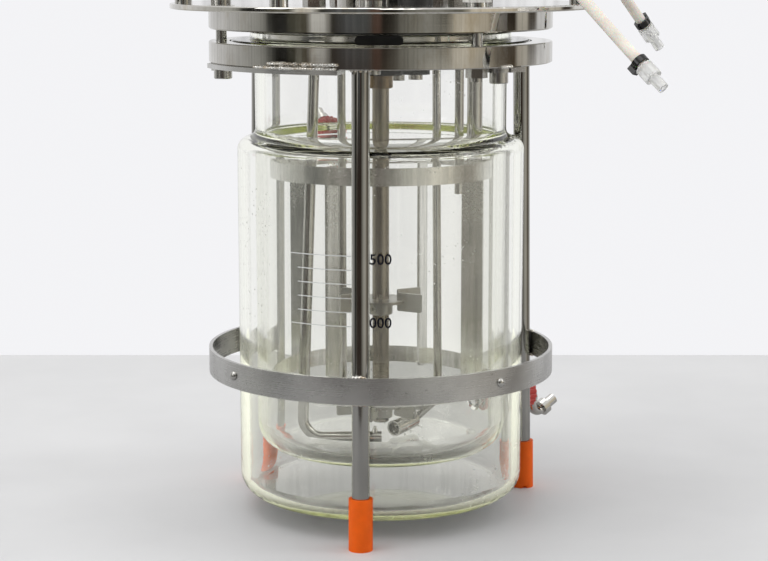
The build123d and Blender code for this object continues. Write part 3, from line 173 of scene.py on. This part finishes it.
# The hoses' routes: control points of their splines
AIR_HOSE = [
    (-0.0362, -0.0170, 0.2970),
    (-0.0362, -0.0170, 0.3402),
    (-0.0049, -0.0275, 0.3698),
    (0.0375, -0.0418, 0.3675),
    (0.0818, -0.0567, 0.3167),
    (0.1106, -0.0780, 0.2814),
    (0.1331, -0.1000, 0.2555),
]
VENT_HOSE = [
    (-0.0229, 0.0340, 0.2970),
    (-0.0229, 0.0340, 0.3496),
    (0.0181, 0.0326, 0.3863),
    (0.0727, 0.0304, 0.3801),
    (0.0996, 0.0280, 0.3438),
    (0.1260, 0.0330, 0.3054),
    (0.1528, 0.0470, 0.2703),
]
HOSE_DIAMETER = 0.006
HOSES = (("air_hose", AIR_HOSE, 0.2858), ("vent_hose", VENT_HOSE, 0.2927))


# ------------------------------------------------------------------ settings
class GlassSettings(bpy.types.PropertyGroup):
    ior: FloatProperty(
        name="IOR", description="Refractive index of borosilicate glass", default=1.473, min=1.3, max=1.7)
    tint: FloatVectorProperty(
        name="Tint", description="Colour of light that has crossed a thick edge",
        subtype="COLOR", default=(0.90, 0.92, 0.66), min=0.0, max=1.0)
    tint_density: FloatProperty(
        name="Tint density", description="How fast the tint builds up, per metre", default=10.0, min=0.0)


class SteelSettings(bpy.types.PropertyGroup):
    turned: FloatVectorProperty(
        name="Turned steel", description="Colour of the rings and the lid",
        subtype="COLOR", default=(0.56, 0.545, 0.51), min=0.0, max=1.0)
    drawn: FloatVectorProperty(
        name="Drawn steel", description="Colour of legs, tubes and shaft",
        subtype="COLOR", default=(0.60, 0.59, 0.56), min=0.0, max=1.0)
    strip: FloatVectorProperty(
        name="Strip steel", description="Colour of the hoop, the cage rings and the baffles",
        subtype="COLOR", default=(0.58, 0.575, 0.56), min=0.0, max=1.0)


class SoftSettings(bpy.types.PropertyGroup):
    sleeve: FloatVectorProperty(
        name="Foot sleeves", description="Colour of the silicone sleeves on the feet",
        subtype="COLOR", default=(0.90, 0.13, 0.003), min=0.0, max=1.0)
    cap: FloatVectorProperty(
        name="Screw caps", description="Colour of the two side caps",
        subtype="COLOR", default=(0.55, 0.045, 0.035), min=0.0, max=1.0)
    hose: FloatVectorProperty(
        name="Hoses", description="Colour of the silicone hoses",
        subtype="COLOR", default=(0.92, 0.87, 0.77), min=0.0, max=1.0)
    ink: FloatVectorProperty(
        name="Ink", description="Colour of the printed volume numbers",
        subtype="COLOR", default=(0.003, 0.004, 0.014), min=0.0, max=1.0)
    mark: FloatVectorProperty(
        name="Marks", description="Colour of the fired-on volume lines",
        subtype="COLOR", default=(0.76, 0.77, 0.76), min=0.0, max=1.0)


class StageSettings(bpy.types.PropertyGroup):
    floor: FloatVectorProperty(
        name="Floor", description="Colour of the table top",
        subtype="COLOR", default=(0.68, 0.68, 0.685), min=0.0, max=1.0)
    floor_side: FloatProperty(
        name="Floor side", description="Width and depth of the table top", default=0.842, unit="LENGTH")
    bounces: IntProperty(
        name="Bounces", description="How often light may bounce inside the thick glass", default=48, min=12)
    eye: FloatVectorProperty(
        name="Eye", description="Where the camera stands", subtype="TRANSLATION",
        default=(0.00184, -1.091, 0.3112))
    pitch: FloatProperty(
        name="Pitch", description="How far the camera looks down", subtype="ANGLE",
        default=math.radians(9.446))
    lens: FloatProperty(
        name="Lens", description="Focal length on a 36 mm sensor", default=91.64, subtype="DISTANCE_CAMERA")


# ------------------------------------------------------------------ modelling helpers
def clear_selection():
    if bpy.context.object and bpy.context.object.mode != "OBJECT":
        bpy.ops.object.mode_set(mode="OBJECT")
    bpy.ops.object.select_all(action="DESELECT")


def activate(piece):
    clear_selection()
    piece.select_set(True)
    bpy.context.view_layer.objects.active = piece


def named(piece, name):
    piece.name = name
    piece.data.name = name
    return piece


def settle(piece):
    """Put a piece's place and turn into its mesh."""
    activate(piece)
    bpy.ops.object.transform_apply(location=True, rotation=True, scale=True)
    return piece


def finish_modifier(piece, kind, **settings):
    """Add one modifier and apply it."""
    activate(piece)
    modifier = piece.modifiers.new(kind.title(), kind)
    for key, value in settings.items():
        setattr(modifier, key, value)
    bpy.ops.object.modifier_apply(modifier=modifier.name)
    return piece


def smooth(piece, degrees):
    activate(piece)
    bpy.ops.object.shade_smooth_by_angle(angle=math.radians(degrees))
    return piece


def joined(pieces, name):
    """Several meshes as one piece."""
    clear_selection()
    for piece in pieces:
        piece.select_set(True)
    bpy.context.view_layer.objects.active = pieces[0]
    bpy.ops.object.join()
    return named(bpy.context.object, name)


def polar(radius, azimuth, z=0.0):
    turn = math.radians(azimuth)
    return Vector((radius * math.cos(turn), radius * math.sin(turn), z))


# ------------------------------------------------------------------ material helpers
class Nodes:
    """Short ways to add nodes to a node tree."""

    def __init__(self, tree):
        self.nodes = tree.nodes
        self.links = tree.links

    def add(self, kind, inputs=(), **settings):
        node = self.nodes.new("ShaderNode" + kind)
        for key, value in settings.items():
            setattr(node, key, value)
        for key, value in dict(inputs).items():
            if isinstance(value, bpy.types.NodeSocket):
                self.links.new(value, node.inputs[key])
            else:
                node.inputs[key].default_value = value
        return node.outputs

    def math(self, operation, a, b=0.0):
        return self.add("Math", {0: a, 1: b}, operation=operation)[0]

    def scaled(self, vector, scale):
        return self.add("Mapping", {"Vector": vector, "Scale": scale})[0]

    def noise(self, vector, scale, detail=4.0, roughness=0.5):
        sockets = {"Vector": vector, "Scale": scale, "Detail": detail, "Roughness": roughness}
        return self.add("TexNoise", sockets)[0]

    def spread(self, value, low, high, to_low=0.0, to_high=1.0):
        """Stretch a value's range."""
        return self.add("MapRange", {0: value, 1: low, 2: high, 3: to_low, 4: to_high}, clamp=True)[0]

    def ramp(self, value, stops):
        """Colours along a value from 0 to 1."""
        outputs = self.add("ValToRGB", {0: value})
        elements = self.nodes[-1].color_ramp.elements
        while len(elements) < len(stops):
            elements.new(1.0)
        for element, (place, color) in zip(elements, stops):
            element.position = place
            element.color = (*color, 1.0)
        return outputs["Color"]

    def blend(self, factor, a, b):
        """Mix of two colours, each a value or a socket."""
        a, b = (c if isinstance(c, bpy.types.NodeSocket) else (*c, 1.0) for c in (a, b))
        return self.add("Mix", {0: factor, 6: a, 7: b}, data_type="RGBA")[2]

    def gathered(self, path):
        """1 for light that has bounced about inside a thick glass edge before it came out."""
        bounced = self.math("GREATER_THAN", path["Glossy Depth"], 0.5)
        one_wall = self.math("LESS_THAN", path["Transmission Depth"], 3.5)
        trapped = self.math("MAXIMUM", one_wall, self.math("GREATER_THAN", path["Glossy Depth"], 1.5))
        return self.math("MULTIPLY", self.math("MULTIPLY", path["Is Transmission Ray"], bounced), trapped)


class Tree(Nodes):
    """A material with one Principled shader."""

    def __init__(self, name, color, roughness, **sockets):
        self.material = bpy.data.materials.new(name)
        self.material.use_nodes = True
        super().__init__(self.material.node_tree)
        self.shader = self.nodes["Principled BSDF"]
        self.set(Base_Color=(*color, 1.0), Roughness=roughness, **sockets)

    def set(self, **sockets):
        for key, value in sockets.items():
            self.shader.inputs[key.replace("_", " ")].default_value = value

    def feed(self, socket, value):
        self.links.new(value, self.shader.inputs[socket])

    def place(self):
        """Position on the piece, in metres."""
        return self.add("TexCoord")["Object"]

    def turned_place(self):
        """Radius and height, so that a pattern on them runs round the axis."""
        parts = self.add("SeparateXYZ", {0: self.place()})
        flat = self.add("CombineXYZ", {0: parts[0], 1: parts[1], 2: 0.0})[0]
        radius = self.add("VectorMath", {0: flat}, operation="LENGTH")["Value"]
        drift = self.math("MULTIPLY", parts[0], 0.004)
        return self.add("CombineXYZ", {0: radius, 1: drift, 2: parts[2]})[0]

    def bump(self, height, strength, distance):
        normal = self.add("Bump", {"Height": height, "Strength": strength, "Distance": distance})[0]
        self.feed("Normal", normal)


def shade(color, amount):
    return tuple(min(1.0, channel * amount) for channel in color)


def turned_steel(name, color, roughness, grain=0.35):
    """Lathe-turned steel or bronze: fine rings round the axis, faint stains and smears."""
    tree = Tree(name, color, roughness, Metallic=1.0, Anisotropic=0.75, Anisotropic_Rotation=0.25)
    tree.feed("Tangent", tree.add("Tangent", direction_type="RADIAL", axis="Z")[0])
    rings = tree.noise(tree.turned_place(), 2600.0, 3.0)
    stains = tree.noise(tree.place(), 34.0, 5.0)
    smears = tree.noise(tree.scaled(tree.place(), (1.0, 1.0, 0.35)), 75.0, 4.0, 0.65)
    tone = tree.blend(tree.spread(stains, 0.35, 0.7), shade(color, 0.84), shade(color, 1.10))
    soiled = tuple(channel * loss for channel, loss in zip(color, GRIME))
    tree.feed("Base Color", tree.blend(tree.spread(smears, 0.52, 0.78), tone, soiled))
    uneven = tree.math("ADD", tree.math("MULTIPLY", rings, 0.05), tree.math("MULTIPLY", stains, 0.07))
    tree.feed("Roughness", tree.math("ADD", uneven, roughness - 0.06))
    tree.bump(rings, grain, 0.00002)
    return tree.material


def drawn_steel(name, color, roughness):
    """Polished bar and tube: faint lengthwise scratches and smears."""
    tree = Tree(name, color, roughness, Metallic=1.0)
    scratches = tree.noise(tree.scaled(tree.place(), (1.0, 1.0, 0.03)), 1500.0, 3.0)
    smears = tree.noise(tree.scaled(tree.place(), (1.0, 1.0, 0.4)), 60.0, 4.0)
    tree.feed("Base Color", tree.blend(tree.spread(smears, 0.3, 0.7), shade(color, 0.82), shade(color, 1.06)))
    uneven = tree.math("ADD", tree.math("MULTIPLY", scratches, 0.06), tree.math("MULTIPLY", smears, 0.14))
    tree.feed("Roughness", tree.math("ADD", uneven, roughness - 0.10))
    tree.bump(scratches, 0.25, 0.00001)
    return tree.material


def strip_steel(name, color, roughness, stains=0.0):
    """Rolled strip: brushed, with dark specks, and with streaks and dried splashes if asked."""
    tree = Tree(name, color, roughness, Metallic=1.0)
    brushing = tree.noise(tree.turned_place(), 3200.0, 2.0)
    clouds = tree.noise(tree.place(), 45.0, 5.0)
    specks = tree.spread(tree.noise(tree.place(), 420.0, 2.0), 0.71, 0.76)
    tone = tree.blend(tree.spread(clouds, 0.3, 0.7), shade(color, 0.82), shade(color, 1.08))
    tone = tree.blend(specks, tone, shade(color, 0.55))
    runs = tree.noise(tree.scaled(tree.place(), (1.0, 1.0, 0.04)), 420.0, 3.0, 0.6)
    tone = tree.blend(tree.spread(runs, 0.35, 0.65, 0.0, stains), tone, shade(color, 1.35))
    drops = tree.noise(tree.place(), 900.0, 3.0, 0.6)
    height = tree.add("SeparateXYZ", {0: tree.place()})[2]
    band = tree.math("MULTIPLY", tree.spread(height, *SPLASH_Z),
                     tree.spread(height, *RING_EDGE_Z, 0.25))
    dried = tree.math("MULTIPLY", band, tree.spread(drops, 0.50, 0.64, 0.0, stains))
    tree.feed("Base Color", tree.blend(dried, tone, DRIED))
    rough = tree.math("ADD", tree.math("MULTIPLY", brushing, 0.10), tree.math("MULTIPLY", clouds, 0.16))
    tree.feed("Roughness", tree.math("ADD", tree.math("ADD", rough, roughness - 0.13),
                                     tree.math("MULTIPLY", dried, 0.25)))
    tree.bump(brushing, 0.3, 0.00002)
    return tree.material


def weld_steel():
    """Weld metal: rippled, with random patches of a pale tone that is partly painted highlight, and of straw
    heat tint.
    """
    tree = Tree("weld_metal", (0.62, 0.60, 0.57), 0.28, Metallic=1.0)
    ripples = tree.noise(tree.place(), 900.0, 3.0)
    heat_tint_and_highlight = tree.noise(tree.place(), 180.0, 3.0)
    # Pale patches are painted highlight laid into the metal's colour; straw patches are heat tint
    tree.feed("Base Color", tree.blend(tree.spread(heat_tint_and_highlight, 0.42, 0.62), (0.86, 0.85, 0.82), (0.52, 0.45, 0.36)))
    tree.feed("Roughness", tree.spread(ripples, 0.2, 0.8, 0.14, 0.34))
    tree.bump(ripples, 0.6, 0.00015)
    return tree.material


def clear_glass(settings):
    """Borosilicate: clear on the walls, yellow-green where light goes the long way, with dried splashes."""
    tree = Tree("borosilicate", (1.0, 1.0, 1.0), 0.0, Transmission_Weight=1.0, IOR=settings.ior)
    tree.set(Specular_IOR_Level=0.5)
    specks = tree.spread(tree.noise(tree.place(), 520.0, 1.0), 0.70, 0.74)
    patches = tree.spread(tree.noise(tree.place(), 22.0, 2.0), 0.54, 0.66)
    splashes = tree.math("MULTIPLY", specks, patches)
    tree.feed("Roughness", tree.math("MULTIPLY", splashes, 0.5))
    tint = {"Color": (*settings.tint, 1.0), "Density": settings.tint_density}
    tree.links.new(tree.add("VolumeAbsorption", tint)[0], tree.nodes["Material Output"].inputs["Volume"])
    return tree.material


def silicone(name, color, roughness, depth=0.0, weight=0.0):
    """Soft moulded silicone: matt and a little uneven."""
    tree = Tree(name, color, roughness, Subsurface_Weight=weight, Subsurface_Scale=depth, IOR=1.41,
                Specular_IOR_Level=0.3)
    clouds = tree.noise(tree.place(), 90.0, 4.0)
    fine = tree.noise(tree.place(), 900.0, 2.0)
    tree.feed("Base Color", tree.blend(tree.spread(clouds, 0.3, 0.7), shade(color, 0.86), shade(color, 1.08)))
    tree.feed("Roughness", tree.spread(clouds, 0.3, 0.7, roughness - 0.06, roughness + 0.08))
    tree.bump(fine, 0.15, 0.00003)
    return tree.material


def moulded(name, color, roughness=0.32):
    """Injection-moulded plastic: even gloss with a faint orange-peel."""
    tree = Tree(name, color, roughness, IOR=1.48)
    peel = tree.noise(tree.place(), 700.0, 2.0)
    dust = tree.noise(tree.place(), 60.0, 5.0)
    tree.feed("Base Color", tree.blend(tree.spread(dust, 0.35, 0.7), shade(color, 0.88), shade(color, 1.06)))
    tree.feed("Roughness", tree.spread(dust, 0.3, 0.7, roughness - 0.05, roughness + 0.09))
    tree.bump(peel, 0.12, 0.00003)
    return tree.material


def black_rubber():
    tree = Tree("black_rubber", (0.018, 0.018, 0.018), 0.55, IOR=1.52)
    bloom = tree.noise(tree.place(), 120.0, 4.0)
    dull = tree.spread(bloom, 0.4, 0.75)
    tree.feed("Base Color", tree.blend(dull, (0.013, 0.013, 0.013), (0.035, 0.034, 0.032)))
    tree.feed("Roughness", tree.spread(bloom, 0.3, 0.7, 0.45, 0.68))
    tree.bump(tree.noise(tree.place(), 1500.0, 2.0), 0.2, 0.00003)
    return tree.material


def clear_plastic():
    tree = Tree("clear_plastic", (0.99, 0.99, 0.98), 0.12, Transmission_Weight=0.6, IOR=1.45)
    mist = tree.noise(tree.place(), 350.0, 3.0)
    tree.feed("Roughness", tree.spread(mist, 0.3, 0.7, 0.08, 0.26))
    return tree.material


def print_ink(name, color, roughness):
    """Fired-on print, a little broken by wear."""
    tree = Tree(name, color, roughness, Specular_IOR_Level=0.15)
    wear = tree.noise(tree.place(), 1200.0, 3.0)
    tree.feed("Base Color", tree.blend(tree.spread(wear, 0.45, 0.75), color, shade(color, 0.8)))
    return tree.material


def give(names, material):
    """Put a material on CAD nodes or on new pieces."""
    for name in names:
        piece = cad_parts.get(name) or bpy.data.objects[name]
        piece.data.materials.clear()
        piece.data.materials.append(material)


# ------------------------------------------------------------------ pieces
class REACTOR_OT_steel(bpy.types.Operator):
    """Finish the turned, drawn and rolled steel pieces"""
    bl_idname = "reactor.steel"
    bl_label = "Steel finishes"

    def execute(self, context):
        steel = context.scene.reactor_steel
        give(("head_plate", "clamp_ring", "bearing_housing", "housing_cover", "drive_hub"),
             turned_steel("turned_steel", steel.turned, 0.07, 0.12))
        give(("top_disc",), turned_steel("polished_disc", shade(steel.turned, 1.2), 0.07, 0.08))
        # The impellers take a darker copy of the turned steel: painted shade for the dim room that they
        # mirror through the glass
        give(("impeller_upper", "impeller_lower"),
             turned_steel("impeller_steel_painted_shade", shade(steel.turned, 0.82), 0.3))
        give(("seal_bush",), turned_steel("bush_bronze", (0.25, 0.19, 0.125), 0.24))
        # The shaft's dark brown-grey is painted shade: steel darkened for the dim room that it mirrors
        # through the glass
        give(("stirrer_shaft",), drawn_steel("shaft_steel_painted_shade", (0.37, 0.335, 0.28), 0.22))
        # The legs take a darker copy of the drawn steel: painted shade for the dark room that they mirror
        give(("leg_front", "leg_left", "leg_right"), drawn_steel("leg_steel_painted_shade", shade(steel.drawn, 0.65), 0.11))
        give(("lifting_handles", "sparger_pipe", "dip_tube", "sample_tube", "feed_tube", "thermowell",
              "bung_tube", "hose_stem_lower", "hose_stem_upper"),
             drawn_steel("drawn_steel", steel.drawn, 0.12))
        give(("guard_hoop", "stand_tabs"), strip_steel("strip_steel", steel.strip, 0.27))
        give(("cage_rings", "baffles"), strip_steel("cage_steel", shade(steel.strip, 1.25), 0.22, 0.6))
        give(("clamp_bolt_left", "clamp_bolt_front", "clamp_bolt_rear", "clamp_nuts", "stand_screws",
              "hoop_rivets", "housing_screws", "impeller_grub_screws", "gland_bodies", "gland_nuts",
              "port_plugs", "shaft_bearings"),
             drawn_steel("fastener_steel", shade(steel.drawn, 0.92), 0.22))
        return {"FINISHED"}


class REACTOR_OT_soft_parts(bpy.types.Operator):
    """Finish the rubber, silicone and plastic pieces"""
    bl_idname = "reactor.soft_parts"
    bl_label = "Rubber, silicone and plastic"

    def execute(self, context):
        soft = context.scene.reactor_soft
        give(("foot_front", "foot_left", "foot_right"),
             silicone("sleeve_silicone", soft.sleeve, 0.5, 0.002, 0.1))
        give(("lid_gasket", "lip_cushion", "port_seals"),
             silicone("gasket_silicone", (0.80, 0.79, 0.75), 0.4))
        give(("spigot_o_ring", "rim_pad", "port_bung", "gland_rings"), black_rubber())
        give(("shaft_seal",), moulded("seal_carbon", (0.008, 0.008, 0.009), 0.34))
        give(("clamp_knob_left", "clamp_knob_front", "clamp_knob_rear"),
             moulded("knob_plastic", (0.78, 0.78, 0.75)))
        give(("port_cap_lower", "port_cap_upper"), moulded("cap_plastic", soft.cap))
        give(("hose_ties",), moulded("tie_nylon", (0.004, 0.004, 0.004), 0.2))
        give(("luer_fittings",), clear_plastic())
        return {"FINISHED"}


class REACTOR_OT_glass(bpy.types.Operator):
    """Give the vessel its glass"""
    bl_idname = "reactor.glass"
    bl_label = "Glass vessel"

    def execute(self, context):
        give(("glass_vessel",), clear_glass(context.scene.reactor_glass))
        return {"FINISHED"}


def on_jacket(piece, azimuth):
    """Bend a flat piece, drawn round x = 0 with z up, onto the outside of the jacket."""
    for vertex in piece.data.vertices:
        turn = math.radians(azimuth) + vertex.co.x / JACKET_R
        radius = JACKET_R + PRINT_LIFT - vertex.co.y
        vertex.co = Vector((radius * math.cos(turn), radius * math.sin(turn), vertex.co.z))
    return piece


def flat_line(length, width, centre_z):
    """Thin straight mark, cut fine enough to bend."""
    clear_selection()
    bpy.ops.mesh.primitive_grid_add(x_subdivisions=16, y_subdivisions=2, size=1.0)
    line = bpy.context.active_object
    line.scale = (length, width, 1.0)
    line.rotation_euler = (math.radians(90), 0, 0)
    line.location = (0, 0, centre_z)
    return settle(line)


class REACTOR_OT_volume_marks(bpy.types.Operator):
    """Draw the volume lines and their numbers on the jacket"""
    bl_idname = "reactor.volume_marks"
    bl_label = "Volume marks"

    def execute(self, context):
        soft = context.scene.reactor_soft
        lines = []
        start, end = MARK_SPAN
        for index in range(MARK_COUNT):
            begin = start if index in (0, MARK_COUNT - 1) else start + MARK_INDENT
            length = math.radians(end - begin) * JACKET_R
            line = flat_line(length, MARK_WIDTH, MARK_LOW_Z + MARK_STEP * index)
            lines.append(on_jacket(line, (begin + end) / 2))
        marks = joined(lines, "volume_marks")
        give(("volume_marks",), print_ink("mark_enamel", soft.mark, 0.5))
        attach(marks, ROOT)
        numbers = []
        for height, words in NUMBERS:
            clear_selection()
            bpy.ops.object.text_add(rotation=(math.radians(90), 0, 0))
            text = bpy.context.active_object
            text.data.body = words
            text.data.size = NUMBER_SIZE
            text.data.offset = NUMBER_BOLDNESS
            text.data.align_x = "CENTER"
            text.data.align_y = "CENTER"
            text.data.resolution_u = 4
            bpy.ops.object.convert(target="MESH")
            text.location = (0, 0, height)
            numbers.append(on_jacket(settle(text), NUMBER_AZIMUTH))
        numerals = joined(numbers, "volume_numbers")
        give(("volume_numbers",), print_ink("number_ink", soft.ink, 0.45))
        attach(numerals, ROOT)
        return {"FINISHED"}


def weld_bead(name, points, radius, seed):
    """Row of overlapping blobs along a line of points, run together into one bead."""
    blobs = []
    for index, point in enumerate(points):
        clear_selection()
        size = radius * (0.8 + 0.45 * noise.noise(Vector((index * 1.7, seed, 0.3))))
        bpy.ops.mesh.primitive_ico_sphere_add(subdivisions=2, radius=size, location=point)
        blobs.append(bpy.context.active_object)
    bead = joined(blobs, name)
    settle(bead)
    finish_modifier(bead, "REMESH", mode="VOXEL", voxel_size=radius * 0.22, use_smooth_shade=True)
    finish_modifier(bead, "SMOOTH", factor=0.5, iterations=2)
    return smooth(bead, 80.0)


class REACTOR_OT_weld_beads(bpy.types.Operator):
    """Lay the weld beads of the stand"""
    bl_idname = "reactor.weld_beads"
    bl_label = "Weld beads"

    def execute(self, context):
        metal = weld_steel()
        plate_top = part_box("stand_tabs")[1].z
        beads = []
        for name, radius, first, step, count, rise, size, seed in PLATE_SEAMS:
            seam = [polar(radius, first + step * index, plate_top + rise) for index in range(count)]
            beads.append(weld_bead(name, seam, size, seed))
        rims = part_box("guard_hoop")
        for index, azimuth in enumerate(LEG_AZIMUTHS):
            top = polar(LEG_CIRCLE_R, azimuth, plate_top)
            collar = [top + polar(COLLAR_R, 30.0 * step, -0.0005) for step in range(12)]
            beads.append(weld_bead("leg_weld_%d" % index, collar, COLLAR_BEAD, 5.3 * index + 2.0))
            for edge, corner in enumerate(rims):
                name = "hoop_weld_%d_%d" % (index, edge)
                spots = [polar(HOOP_R, azimuth + offset, corner.z) for offset in HOOP_SPOTS]
                beads.append(weld_bead(name, spots, HOOP_BEAD, index + 7.7 * edge + 3.0))
        for bead in beads:
            bead.data.materials.clear()
            bead.data.materials.append(metal)
            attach(bead, ROOT)
        return {"FINISHED"}


def hose_curve(name, route, material):
    """Silicone hose as one smooth spline through its route."""
    line = bpy.data.curves.new(name, "CURVE")
    line.dimensions = "3D"
    spline = line.splines.new("NURBS")
    spline.points.add(len(route) - 1)
    for point, place in zip(spline.points, route):
        point.co = (*place, 1.0)
    spline.order_u = 3
    spline.use_endpoint_u = True
    line.resolution_u = 24
    line.bevel_depth = HOSE_DIAMETER / 2
    line.bevel_resolution = 8
    line.use_fill_caps = True
    line.materials.append(material)
    hose = bpy.data.objects.new(name, line)
    bpy.context.scene.collection.objects.link(hose)
    return hose


class REACTOR_OT_hoses(bpy.types.Operator):
    """Hang the two silicone hoses"""
    bl_idname = "reactor.hoses"
    bl_label = "Hoses"

    def execute(self, context):
        skin = silicone("hose_silicone", context.scene.reactor_soft.hose, 0.3, 0.0015, 0.25)
        for name, route, length in HOSES:
            hose = hose_curve(name + "_silicone", route, skin)
            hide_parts(name)
            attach(hose, ROOT)
        return {"FINISHED"}


def room_world():
    """Plain backdrop for the eye and straight through glass; for metal, a dim room with bright windows."""
    world = bpy.data.worlds.new("studio_room")
    bpy.context.scene.world = world
    world.use_nodes = True
    net = Nodes(world.node_tree)
    toward = net.add("TexCoord")["Generated"]
    side, depth, height = net.add("SeparateXYZ", {0: toward})
    azimuth = net.math("ARCTAN2", depth, side)
    flat = net.add("CombineXYZ", {0: net.math("COSINE", azimuth), 1: net.math("SINE", azimuth), 2: 0.0})[0]
    wander = net.math("MULTIPLY", net.math("SUBTRACT", net.noise(flat, 14.0, 3.0), 0.5), 0.014)
    turn = net.math("ADD", net.spread(azimuth, -math.pi, math.pi), wander)
    level, below = (net.ramp(turn, [((place + 180.0) / 360.0, color) for place, color in stops])
                    for stops in (ROOM, ROOM_BELOW))
    walls = net.blend(net.spread(height, *BELOW_EYE), level, below)
    streaks = net.noise(flat, 38.0, 4.0, 0.7)
    walls = net.blend(net.spread(streaks, 0.50, 0.72, 0.0, 0.5), walls, DARK_STREAK)
    walls = net.blend(net.spread(streaks, 0.46, 0.30, 0.0, 0.10), walls, PALE_STREAK)
    walls = net.blend(net.spread(height, *TABLE_FROM, 0.0, 0.85), walls, TABLE_GLOW)
    walls = net.blend(net.spread(height, *CEILING_FROM), walls, CEILING)
    path = net.add("LightPath")
    bounced = net.math("GREATER_THAN", path["Glossy Depth"], 0.5)
    through = path["Is Transmission Ray"]
    clear = net.math("MULTIPLY", net.math("MAXIMUM", path["Is Camera Ray"], through),
                     net.math("SUBTRACT", 1.0, bounced))
    mirrored = net.math("MAXIMUM", path["Is Glossy Ray"], bounced)
    soft = net.blend(net.spread(depth, -1.0, 0.6), (0.42, 0.42, 0.42), (0.88, 0.88, 0.88))
    light = net.blend(net.gathered(path), net.blend(mirrored, soft, walls), GATHERED)
    net.links.new(net.blend(clear, light, BACKDROP), net.nodes["Background"].inputs["Color"])


def soft_lamp(name, place, size, power):
    """Large square lamp that faces the vessel's middle."""
    lamp = bpy.data.lights.new(name, "AREA")
    lamp.shape = "RECTANGLE"
    lamp.size, lamp.size_y = size
    lamp.energy = power
    holder = bpy.data.objects.new(name, lamp)
    bpy.context.scene.collection.objects.link(holder)
    holder.location = place
    aim = LAMP_AIM - Vector(place)
    holder.rotation_euler = aim.to_track_quat("-Z", "Y").to_euler()
    return holder


class REACTOR_OT_stage(bpy.types.Operator):
    """Set the table top, the lamps, the room and the camera"""
    bl_idname = "reactor.stage"
    bl_label = "Stage"

    def execute(self, context):
        stage = context.scene.reactor_stage
        clear_selection()
        bpy.ops.mesh.primitive_plane_add(size=stage.floor_side, location=(0, 0, 0))
        floor = named(bpy.context.active_object, "table_top")
        top = Tree("table_paint", stage.floor, 0.5, IOR=1.3)
        clouds = top.noise(top.place(), 12.0, 4.0)
        paint = top.blend(top.spread(clouds, 0.3, 0.7), shade(stage.floor, 0.97), shade(stage.floor, 1.03))
        # Metal mirrors the table darker than it is, and thick glass edges gather light from all of it
        path = top.add("LightPath")
        paint = top.blend(path["Is Glossy Ray"], paint, shade(stage.floor, 0.6))
        top.feed("Base Color", top.blend(top.gathered(path), paint, GLASS_RIMS))
        floor.data.materials.append(top.material)
        room_world()
        for lamp in LAMPS:
            soft_lamp(*lamp)
        camera = bpy.data.cameras.new("eye")
        camera.lens = stage.lens
        camera.sensor_width = 36.0
        camera.clip_start = 0.01
        holder = bpy.data.objects.new("eye", camera)
        bpy.context.scene.collection.objects.link(holder)
        holder.location = stage.eye
        holder.rotation_euler = (math.pi / 2 - stage.pitch, 0.0, 0.0)
        context.scene.camera = holder
        context.scene.view_settings.view_transform = "Standard"
        rays = context.scene.cycles
        rays.max_bounces = rays.transmission_bounces = rays.glossy_bounces = stage.bounces
        return {"FINISHED"}


# ------------------------------------------------------------------ add-on
class REACTOR_PT_panel(bpy.types.Panel):
    """Buttons in the order in which the bioreactor is finished"""
    bl_idname = "REACTOR_PT_panel"
    bl_label = "Bench Bioreactor"
    bl_space_type = "VIEW_3D"
    bl_region_type = "UI"
    bl_category = "Bioreactor"

    def draw(self, context):
        for group in ("reactor_glass", "reactor_steel", "reactor_soft", "reactor_stage"):
            settings = getattr(context.scene, group)
            box = self.layout.box()
            for key in settings.bl_rna.properties.keys():
                if key not in ("rna_type", "name"):
                    box.prop(settings, key)
        for operator in OPERATORS:
            self.layout.operator(operator.bl_idname)


SETTINGS = {
    "reactor_glass": GlassSettings,
    "reactor_steel": SteelSettings,
    "reactor_soft": SoftSettings,
    "reactor_stage": StageSettings,
}
OPERATORS = (
    REACTOR_OT_stage,
    REACTOR_OT_hoses,
    REACTOR_OT_steel,
    REACTOR_OT_soft_parts,
    REACTOR_OT_glass,
    REACTOR_OT_volume_marks,
    REACTOR_OT_weld_beads,
)


def register():
    for name, settings in SETTINGS.items():
        bpy.utils.register_class(settings)
        setattr(bpy.types.Scene, name, PointerProperty(type=settings))
    for operator in OPERATORS:
        bpy.utils.register_class(operator)
    bpy.utils.register_class(REACTOR_PT_panel)


def unregister():
    bpy.utils.unregister_class(REACTOR_PT_panel)
    for operator in reversed(OPERATORS):
        bpy.utils.unregister_class(operator)
    for name, settings in SETTINGS.items():
        delattr(bpy.types.Scene, name)
        bpy.utils.unregister_class(settings)


def main():
    register()
    bpy.ops.reactor.stage()
    bpy.ops.reactor.hoses()
    bpy.ops.reactor.steel()
    bpy.ops.reactor.soft_parts()
    bpy.ops.reactor.glass()
    bpy.ops.reactor.volume_marks()
    bpy.ops.reactor.weld_beads()


if __name__ == "__main__":
    main()
